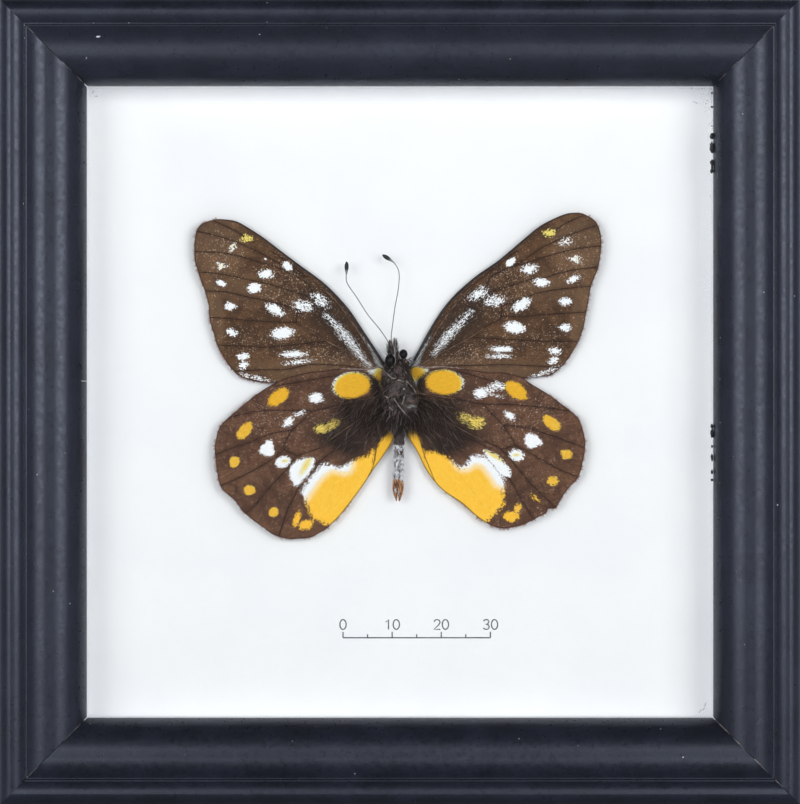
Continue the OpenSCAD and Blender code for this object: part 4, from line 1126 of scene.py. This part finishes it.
def abdomen_look():
    """Grey scales with a dark root, a dark ring and blots."""
    look = Look("abdomen_scales", Roughness=0.6, Specular_IOR_Level=0.3)
    grain = look.noise(1.3, 3, 0.6)
    place = look.sum(look.field("along"), look.fade(grain, 0.3, 0.7, -0.03, 0.03))
    scale = look.cell_value(4.5)
    root = look.mix(scale, rgb(38, 32, 32), rgb(84, 76, 76))
    dark = look.mix(scale, rgb(40, 28, 30), rgb(84, 62, 62))
    pale = look.mix(scale, rgb(80, 76, 80), rgb(172, 172, 180))
    colour = look.mix(look.fade(place, 0.34, 0.38), root, pale)
    band = look.product(look.fade(place, 0.455, 0.475), look.fade(place, 0.555, 0.535))
    colour = look.mix(band, colour, dark)
    blot = look.fade(look.noise(0.9, 3, 0.65), 0.54, 0.62)
    colour = look.mix(look.product(blot, 0.85), colour, dark)
    return look.done(colour, look.sum(scale, grain), 0.04, 0.7)


def make_abdomen(rng):
    rows, turns = 100, 36
    verts, along = [], []
    for share in np.arange(rows + 1) / rows:
        segment = abs(math.sin(math.pi * ABDOMEN_SEGMENTS * share)) ** 0.5
        end = 1 - 0.25 * max(0, share - 0.93) / 0.07
        radius = 1.06 * (0.84 + 0.16 * segment) * (1.04 - 0.06 * share) * end
        for turn in circle(turns):
            way = np.array((math.cos(turn), math.sin(turn), 0))
            place = on_abdomen(share)
            verts.append(place + radius * (1 + 0.09 * waver(*(place + way * 1.1) * 2.1)) * way)
            along.append(share)
    skin = (at_specimen(verts), ring_faces(rows + 1, turns, downward=True))
    make_piece("abdomen_segments", [skin], abdomen_look(), "abdomen", {"along": along})

    # White scales in tufts that leave the dark ring and the dashes down the middle free
    tuft = hair_look("abdomen_tufts", (176, 180, 190), (238, 240, 245), (252, 252, 254), 0.5)
    hairs = []
    while len(hairs) < ABDOMEN_TUFTS:
        share, turn = rng.uniform(0.3, 0.98), rng.uniform(-0.2, math.pi + 0.2)
        x = math.cos(turn)
        ring = 0.425 < share < 0.54 + 0.015 * rng.normal()
        dash = abs(x) < 0.3 and (share < 0.39 or 0.7 < share < 0.8) or share < 0.35 + 0.015 * rng.normal()
        gap = waver(x * 2.2, share * 15, 5) < -0.02
        if (ring or dash or gap) and rng.random() < 0.93:
            continue
        out = np.array((x, math.sin(turn), 0))
        way = out * 0.35 + np.array((0, 0, -1)) + 0.3 * rng.normal(size=3)
        hairs.append((on_abdomen(share) + 0.98 * out, way, rng.uniform(0.3, 0.6)))
    lay_hairs("abdomen_tufts", hairs, 0.09, tuft, rng, 0.1)


# The claspers' two valves and the ridge between them: X, lift and Z from the abdomen's end, then the radius
CLASPERS = (
    ([(-0.5, 0.2, 0.5), (-0.68, 0.35, -0.8), (-0.66, 0.4, -2.2), (-0.42, 0.3, -3.6), (-0.3, 0.1, -4.4)],
     0.46),
    ([(0.5, 0.2, 0.5), (0.68, 0.35, -0.8), (0.66, 0.4, -2.2), (0.4, 0.3, -3.5), (0.24, 0.1, -4.5)], 0.46),
    ([(0.02, 0.5, 0.3), (0.04, 0.75, -0.9), (0.03, 0.65, -2.4), (-0.02, 0.4, -3.3)], 0.3),
)


def make_claspers(rng):
    """Two horny valves round a middle ridge, with brown hairs and pale tufts on them."""
    look = Look("clasper_scales", Roughness=0.4, Specular_IOR_Level=0.4)
    ridge = look.noise(1.6, 3, 0.6, look.stretched((3, 3, 0.7)))
    shell = look.done(look.mix(look.fade(ridge, 0.4, 0.62), rgb(70, 38, 24), rgb(222, 158, 104)), ridge, 0.08)
    end = on_abdomen(0.985)
    parts = []
    for places, radius in CLASPERS:
        curve = smooth_curve(places, 0.15) + end
        share = np.linspace(0, 1, len(curve))
        radii = radius * np.sqrt(np.clip(1 - share**2.6, 0.01, 1)) * (0.8 + 0.3 * np.sin(np.pi * share))
        parts.append(tube_mesh(at_specimen(curve), radii, 16))
    make_piece("clasper_valves", parts, shell, "claspers")

    # Hairs in spots: X, half width, and the highest and lowest Z from the abdomen's end
    brown = hair_look("clasper_hairs", (52, 28, 20), (186, 126, 90), (240, 206, 176), 0.3)
    pale = hair_look("clasper_tufts", (150, 150, 156), (222, 222, 228), (250, 250, 252), 0.4)
    for name, look, spots, count in (
        ("clasper_hairs", brown, [(0, 0.9, 0.0, -3.9)], 170),
        ("clasper_tufts", pale, [(-0.62, 0.22, -1.6, -2.5), (0.12, 0.22, -1.4, -2.7)], 110),
    ):
        hairs = []
        for _ in range(count):
            x, wide, high, low = spots[rng.integers(len(spots))]
            dx = x + wide * rng.uniform(-1, 1)
            z = rng.uniform(low, high)
            root = end + np.array((dx * (1 + 0.12 * z), 0.72 + 0.12 * rng.normal(), z))
            way = (0.15 * rng.normal(), 0.1 * rng.normal(), -1)
            hairs.append((root, way, rng.uniform(0.35, 0.8)))
        lay_hairs(name, hairs, 0.06, look, rng, 0.08)


def glue_look():
    """Dried clear glue, a little yellow."""
    look = Look("glue_dot", Roughness=0.35, IOR=1.45)
    return look.done(look.mix(look.noise(1.5), rgb(206, 200, 184), rgb(230, 226, 212)), look.noise(1.0), 0.06)


def lacquer_look():
    """Satin blue-black lacquer over wood, with a soft grain, grit and dust."""
    look = Look("frame_lacquer", Roughness=0.33, IOR=1.48)
    ground = look.mix(look.fade(look.noise(0.12, 4), 0.35, 0.7), rgb(19, 21, 28), rgb(27, 30, 40))
    ground = look.tone(ground, look.vary(look.cell_value(3.5), 0.82, 1.2))
    chosen = look.fade(look.cell_value(0.42), 0.88, 0.9)
    dust = look.product(look.fade(look.cells(0.42), 0.07, 0.035), chosen)
    look.set("Roughness", look.fade(look.noise(0.9, 3), 0.3, 0.7, 0.27, 0.38))
    look.set("Specular Tint", (0.7, 0.78, 1.0, 1))
    grain = look.sum(look.noise(2.2, 3), look.product(look.noise(0.5), 1.5))
    return look.done(look.mix(dust, ground, rgb(150, 152, 156)), grain, 0.03, 0.5)


def paper_look(name, light, shade):
    """Matt board or filler with a faint tooth."""
    look = Look(name, Roughness=0.85, IOR=1.4)
    fibres = look.noise(3.0, 3, 0.6)
    colour = look.mix(look.fade(look.noise(0.05), 0.3, 0.7), rgb(*light), rgb(*shade))
    return look.done(look.tone(colour, look.fade(fibres, 0.2, 0.8, 0.985, 1.01)), fibres, 0.01)


def glass_look():
    """Clear glass: light passes, and a faint reflection grows towards a grazing view."""
    look = Look("pane_glass")
    facing = look.add("ShaderNodeLayerWeight", {"Blend": 0.5}).outputs["Facing"]
    smear = look.fade(look.noise(0.03, 3, 0.6), 0.3, 0.8, 0.0, 0.002)
    share = look.sum(look.math("MULTIPLY_ADD", look.math("POWER", facing, 5.0), 0.9, 0.003), smear)
    clear = look.add("ShaderNodeBsdfTransparent", {"Color": (0.985, 0.992, 0.99, 1)}).outputs[0]
    gloss = look.add("ShaderNodeBsdfGlossy", {"Color": (1, 1, 1, 1), "Roughness": 0.02}).outputs[0]
    mixed = look.add("ShaderNodeMixShader", {0: share, 1: clear, 2: gloss}).outputs[0]
    look.put(mixed, look.tree.nodes["Material Output"].inputs["Surface"])
    return look.material


def metal_look(name, bright, dull, roughness, per_mm=1.2, brushed=(1, 1, 1)):
    """Plated metal with faint brushing and a few dull stains."""
    look = Look(name, Metallic=1.0, Roughness=roughness)
    lines = look.noise(per_mm, 3, 0.6, look.stretched(brushed))
    stain = look.fade(look.noise(0.25, 3, 0.6), 0.42, 0.66)
    colour = look.mix(stain, rgb(*bright), rgb(*dull))
    look.set("Roughness", look.fade(lines, 0.3, 0.7, roughness - 0.06, roughness + 0.1))
    return look.done(look.tone(colour, look.fade(lines, 0.3, 0.7, 0.88, 1.08)), lines, 0.012, 0.6)


def hardboard_look():
    """Brown pressed fibre board with fine flecks and faint blotches."""
    look = Look("back_board", Roughness=0.6, IOR=1.45)
    fibres = look.noise(1.1, 4, 0.65, look.stretched((1, 1, 2.2)))
    flecks = look.cell_value(1.6, look.stretched((1, 1, 0.35)))
    colour = look.mix(look.fade(fibres, 0.32, 0.68), rgb(98, 68, 44), rgb(140, 102, 68))
    colour = look.tone(colour, look.vary(flecks, 0.84, 1.12))
    colour = look.tone(colour, look.fade(look.noise(0.04, 3), 0.3, 0.7, 0.9, 1.06))
    return look.done(colour, fibres, 0.05)


def felt_look():
    look = Look("pad_felt", Roughness=0.95, IOR=1.3, Sheen_Weight=0.3)
    fluff = look.noise(2.5, 4, 0.7)
    return look.done(look.mix(look.fade(fluff, 0.3, 0.7), rgb(26, 26, 29), rgb(66, 66, 71)), fluff, 0.15)


def dress_case():
    """A material for each solid that keeps its CAD form."""
    lacquer = lacquer_look()
    lining = paper_look("spacer_board", (247, 248, 250), (243, 244, 247))
    steel = metal_look("button_steel", (196, 198, 200), (158, 158, 156), 0.34, 1.6, (0.25, 1, 2))
    brass = metal_look("hanger_brass", (206, 178, 108), (164, 136, 78), 0.3, 1.4, (2, 1, 0.3))
    for side in ("top", "bottom", "left", "right"):
        paint("rail_" + side, lacquer)
        paint("spacer_" + side, lining)
    for side in ("left", "right"):
        for level in ("upper", "lower"):
            paint("turn_button_" + side + "_" + level, steel)
    paint("mount_board", paper_look("mount_board", (249, 250, 252), (246, 247, 251)))
    paint("glass_pane", glass_look())
    paint("back_panel", hardboard_look())
    paint("turn_button_screws", metal_look("screw_zinc", (204, 196, 168), (170, 158, 122), 0.3, 1.5))
    paint("corner_v_nails", metal_look("nail_steel", (150, 152, 154), (112, 104, 96), 0.42))
    paint("hanger_strap", brass)
    paint("hanger_rivet", brass)
    paint("hanger_ring", metal_look("ring_brass", (212, 184, 112), (172, 142, 82), 0.26, 1.4))
    paint("wall_pads", felt_look())
    paint("glue_dot", glue_look())


def rail_face():
    """The front of the moulding, read off a mitre: distance from the outer edge, and Y."""
    rail = nodes["rail_left"]
    face = {}
    for vertex in rail.data.vertices:
        x, y, z = rail.matrix_world @ vertex.co / MM
        if abs(x + case_half_wide - z) < 0.03 and y < glass_front_y - 1:
            reach = round(z, 2)
            face[reach] = min(y, face.get(reach, math.inf))
    return np.array(sorted(face.items()))


FACE = rail_face()


def face_y(reach):
    """Y of the moulding's front at a distance from the outer edge."""
    return np.interp(reach, FACE[:, 0], FACE[:, 1])


def on_rail(x, z, sink):
    """A place on the moulding's front, a little below or above its surface."""
    return (x, face_y(min(case_half_wide - abs(x), case_half_tall - abs(z - mid_z))) + sink, z)


def mitre_line(side, up, first, last, offset, sink):
    """Points along a mitre, from one distance to another from the case's corner."""
    reach = np.arange(first, last, 0.2)
    x = side * (case_half_wide - reach) + offset
    z = mid_z + up * (case_half_tall - reach) + side * up * offset
    return np.stack([x, face_y(reach) + sink, z], axis=1)


def make_joints(rng):
    """Dark lines in the mitres, pale strips beside them that are partly worn edges and partly a painted
    highlight, and pale strips painted where light shows through the gaps at their inner ends.
    """
    cracks, edges, gaps = [], [], []
    for side, up, first, gap, strip_size in ((-1, 1, 5.2, 0.6, 0.06), (1, 1, 5.4, 0.0, 0.05),
                                            (-1, -1, 5.0, 0.6, 0.06), (1, -1, 0.4, 0.6, 0.1)):
        line = mitre_line(side, up, first, rail_wide, 0.0, 0.03)
        cracks.append(tube_mesh(line, 0.1 + 0.02 * rng.normal(size=len(line)).cumsum() / len(line), 6))
        start = first
        # Pale strips beside each crack: worn lacquer, and partly a painted highlight along the mitre's edge
        while start < rail_wide - 1.5:
            last = min(rail_wide - 0.4, start + rng.uniform(1.2, 4.0))
            line = mitre_line(side, up, start, last, -side * 0.11, 0.02)
            edges.append(tube_mesh(line, strip_size * np.sin(np.linspace(0.2, 2.9, len(line))), 6))
            start = last + rng.uniform(0.2, 1.5)
        # Painted light: a pale strip where light shows through the open joint at the sight edge
        if gap:
            line = mitre_line(side, up, rail_wide - gap, rail_wide + 0.2, 0.0, -0.03)
            gaps.append(tube_mesh(line, np.linspace(0.03, 0.17, len(line)), 6))
    joint = skin_look("mitre_joint", (8, 8, 13), (20, 20, 27), 1.2, 0.6, 0.02)
    wear_and_highlight = skin_look("mitre_edge_wear_and_highlight", (84, 80, 84), (140, 132, 130), 1.0, 0.5, 0.02)
    gap_light = paper_look("gap_light_paint", (226, 228, 236), (236, 238, 244))
    for name, parts, material in (("mitre_joints", cracks, joint), ("mitre_worn_edges_and_highlights", edges, wear_and_highlight),
                                  ("mitre_corner_gaps", gaps, gap_light)):
        make_piece(name, parts, material)


# Chips in the lacquer: X, Z, half length, half width and angle
CHIPS = (
    (-60.2, 153.4, 0.42, 0.2, 8), (-61.0, 156.0, 0.1, 0.08, 0), (-54.0, 156.0, 0.12, 0.08, 0),
    (-74.8, 155.6, 0.14, 0.12, 0), (-74.8, 153.0, 0.12, 0.1, 0), (-62.6, 149.2, 0.3, 0.04, 70),
    (-75.0, 120.0, 0.1, 0.1, 0), (68.4, 138.0, 0.12, 0.08, 0), (72.6, 102.4, 0.1, 0.1, 0),
    (-28.0, 153.8, 0.12, 0.08, 0), (22.0, 149.0, 0.1, 0.08, 0), (-9.0, 6.4, 0.1, 0.1, 0),
    (56.5, 9.6, 0.16, 0.1, 30), (-66.0, 40.2, 0.12, 0.08, 0), (75.2, 60.0, 0.1, 0.14, 0),
    (-72.4, 66.0, 0.08, 0.2, 0),
)

# Flecks of lacquer that ran over the sight edge on the right: Z, reach and half length
FLECKS = (
    (142.6, 0.3, 0.2), (139.8, 0.4, 0.25), (136.0, 0.25, 0.12), (133.9, 0.75, 0.6), (131.6, 0.72, 1.25),
    (128.6, 0.6, 0.75), (127.6, 0.35, 0.8), (126.9, 0.55, 0.45), (75.6, 0.4, 0.5), (74.2, 0.5, 1.0),
    (71.6, 0.3, 0.3), (69.4, 0.4, 0.8), (66.4, 0.35, 0.5), (64.8, 0.4, 0.3),
)


def make_chips():
    """Bare chips and one scratch on the rails."""
    chips = []
    for x, z, long, wide, angle in CHIPS:
        points, polygons = ball_mesh((0, 0, 0), (long, 0.05, wide), 14, 8,
                                     lambda way: 1 + 0.35 * waver(*way * 2.4 + np.array((x, z, 0))))
        c, s = math.cos(math.radians(angle)), math.sin(math.radians(angle))
        turned = points @ np.array(((c, 0, s), (0, 1, 0), (-s, 0, c)))
        chips.append((turned + on_rail(x, z, -0.02), polygons))
    scratch = [on_rail(x, 84.7 + 0.08 * waver(x * 3, 0, 0), -0.03) for x in np.linspace(-63.95, -63.02, 12)]
    chips.append(tube_mesh(scratch, np.interp(np.arange(12), (0, 4, 8, 11), (0.02, 0.12, 0.08, 0.1)), 8))
    look = paper_look("bare_chips", (176, 178, 184), (226, 228, 232))
    make_piece("lacquer_chips", chips, look)


def make_flecks():
    lip_y = face_y(rail_wide - 0.1) + 0.35
    flecks = []
    for z, reach, half in FLECKS:
        seed = np.array((z, reach, 0))
        flecks.append(ball_mesh((sight_half - 0.3, lip_y, z), (reach * 0.62, 0.3, half * 0.9), 18, 12,
                                lambda way: 1 + 0.45 * waver(*way * 1.7 + seed)))
    look = skin_look("lacquer_flecks", (24, 24, 30), (58, 58, 68), 2.0, 0.5)
    make_piece("lacquer_flecks", flecks, look)


def make_dust(rng):
    """Grains of dust on the pane by its upper right corner, down the side and along the top."""
    grain_y = glass_front_y - 0.02
    grains = []
    for _ in range(RIGHT_GRAINS):
        x = sight_half - 0.1 - min(2.6, rng.exponential(0.7))
        z = mid_z + 63.2 - min(30, rng.exponential(5.0))
        size = rng.uniform(0.03, 0.08)
        grains.append(ball_mesh((x, grain_y, z), (size, 0.03, size * 1.4), 6, 4))
    for _ in range(TOP_GRAINS):
        x = sight_half - min(14, rng.exponential(4.0))
        size = rng.uniform(0.03, 0.07)
        z = mid_z + 63.3 - min(1.2, rng.exponential(0.3))
        grains.append(ball_mesh((x, grain_y, z), (size * 1.3, 0.03, size), 6, 4))
    look = skin_look("dust_grains", (140, 142, 160), (196, 198, 214), 1.0)
    make_piece("dust_grains", grains, look)


def make_fibres():
    """Loose fibres in three corners of the display space: X, Z, run and rise."""
    fibres = []
    for x, z, run, rise in ((60.2, 17.9, 0.5, 0.7), (60.9, 18.4, 0.5, 0.5), (61.3, 19.2, 0.35, 0.8),
                            (-62.0, 142.6, 0.5, 0.4), (-61.4, 141.9, 0.6, 0.1), (59.0, 140.9, 0.9, -0.35)):
        share = np.linspace(0, 1, 9)
        bend = 0.12 * np.sin(share * math.pi)
        line = np.stack([x + run * share, np.full(9, glass_front_y - 0.06), z + rise * share + bend], axis=1)
        fibres.append(tube_mesh(line, 0.045, 6))
    look = skin_look("loose_fibres", (92, 84, 108), (136, 128, 150), 1.0)
    make_piece("loose_fibres", fibres, look)


def digit_strokes():
    """The digits 0 to 3 as lines in a box one unit high."""
    arc = np.linspace(0, 2 * math.pi, 17)
    return {
        "0": list(zip(0.32 * np.sin(arc), 0.5 + 0.5 * np.cos(arc))),
        "1": [(-0.22, 0.75), (0.05, 1.0), (0.05, 0.0)],
        "2": [(-0.3, 0.78), (-0.2, 0.95), (0.02, 1.0), (0.24, 0.92), (0.3, 0.72), (0.2, 0.5), (-0.32, 0.0),
              (0.34, 0.0)],
        "3": [(-0.28, 0.86), (-0.08, 1.0), (0.16, 0.98), (0.28, 0.78), (0.16, 0.57), (-0.06, 0.53),
              (0.2, 0.48), (0.32, 0.26), (0.18, 0.03), (-0.08, 0.0), (-0.3, 0.14)],
    }


def make_scale_bar():
    """A plain printed scale of thirty millimetres below the specimen."""
    digits = digit_strokes()
    height, pitch, start, foot = 2.0, 1.7, -11.6, 32.5
    strokes = [[(start, foot), (start + 30, foot)]]
    for step in range(7):
        x = start + 5 * step
        strokes.append([(x, foot), (x, foot + (0.7 if step % 2 else 1.2))])
    for value in (0, 10, 20, 30):
        name = str(value)
        for place, digit in enumerate(name):
            x = start + value + (place - (len(name) - 1) / 2) * pitch
            strokes.append([(x + height * u, foot + 1.7 + height * v) for u, v in digits[digit]])
    parts = [tube_mesh([(x, board_y - 0.01, z) for x, z in stroke], 0.125, 6, 0.4) for stroke in strokes]
    ink = skin_look("printing_ink", (76, 76, 84), (106, 106, 116), 2.0)
    make_piece("scale_bar_print", parts, ink)


def make_floor():
    bpy.ops.mesh.primitive_plane_add(size=60, location=(0, 0, 0))
    floor = bpy.context.object
    floor.name = "floor"
    look = Look("floor_paper", Roughness=0.9)
    look.set("Base Color", look.mix(look.noise(0.004), rgb(222, 223, 226), rgb(230, 231, 234)))
    floor.data.materials.append(look.material)


def make_lamp(name, azimuth, elevation, distance, size, watts):
    """A square lamp panel that looks at the case, out of the camera's sight."""
    data = bpy.data.lights.new(name, "AREA")
    data.shape = "RECTANGLE"
    data.size = data.size_y = size
    data.energy = watts
    data.color = LAMP_COLOUR
    obj = bpy.data.objects.new(name, data)
    obj.visible_camera = False
    bpy.context.collection.objects.link(obj)
    a, e = math.radians(azimuth), math.radians(elevation)
    way = Vector((math.sin(a) * math.cos(e), -math.cos(a) * math.cos(e), math.sin(e)))
    obj.location = Vector((0, front_y * MM, mid_z * MM)) + way * distance
    obj.rotation_euler = (-way).to_track_quat("-Z", "Y").to_euler()


def make_room():
    """A room with dim light in front of the case and bright walls at its sides and behind it."""
    world = bpy.data.worlds.new("world")
    bpy.context.scene.world = world
    world.use_nodes = True
    room = Nodes(world.node_tree)
    way = room.add("ShaderNodeSeparateXYZ", {0: room.add("ShaderNodeTexCoord").outputs["Generated"]}).outputs

    # Bright behind, so the floor is pale and the lacquer dark, and brighter at the sides than above, so the
    # upright rails gleam more than the level ones
    level = room.fade(way["Y"], -0.95, 0.9, 0.35, 0.8)
    for axis, gleam in (("X", WALL_GLEAM), ("Z", -WALL_GLEAM)):
        level = room.product(level, room.math("MULTIPLY_ADD", room.math("ABSOLUTE", way[axis]), gleam, 1.0))
    background = room.tree.nodes["Background"]
    room.put(level, background.inputs["Strength"])
    room.put(ROOM_COLOUR, background.inputs["Color"])


def make_camera():
    camera = bpy.data.cameras.new("camera")
    camera.sensor_fit = "HORIZONTAL"
    camera.sensor_width = SENSOR
    camera.lens = SENSOR * CAMERA_DISTANCE / PICTURE_WIDTH
    camera.clip_start = 0.01
    holder = bpy.data.objects.new("camera", camera)
    bpy.context.collection.objects.link(holder)
    holder.location = (0, (front_y - CAMERA_DISTANCE) * MM, mid_z * MM)
    holder.rotation_euler = (math.pi / 2, 0, 0)
    bpy.context.scene.camera = holder
    bpy.context.scene.view_settings.view_transform = "Standard"


make_floor()
for lamp in LAMPS:
    make_lamp(*lamp)
make_room()
make_camera()
dress_case()
random = np.random.default_rng(7)
make_wings(random)
make_thorax(random)
make_root_hairs(random)
make_head()
make_eyes()
make_head_fur(random)
make_eye_rims(random)
make_palps(random)
make_antennae()
make_legs(random)
make_abdomen(random)
make_claspers(random)
make_joints(random)
make_chips()
make_flecks()
make_dust(random)
make_fibres()
make_scale_bar()
make_base_hairs(random)
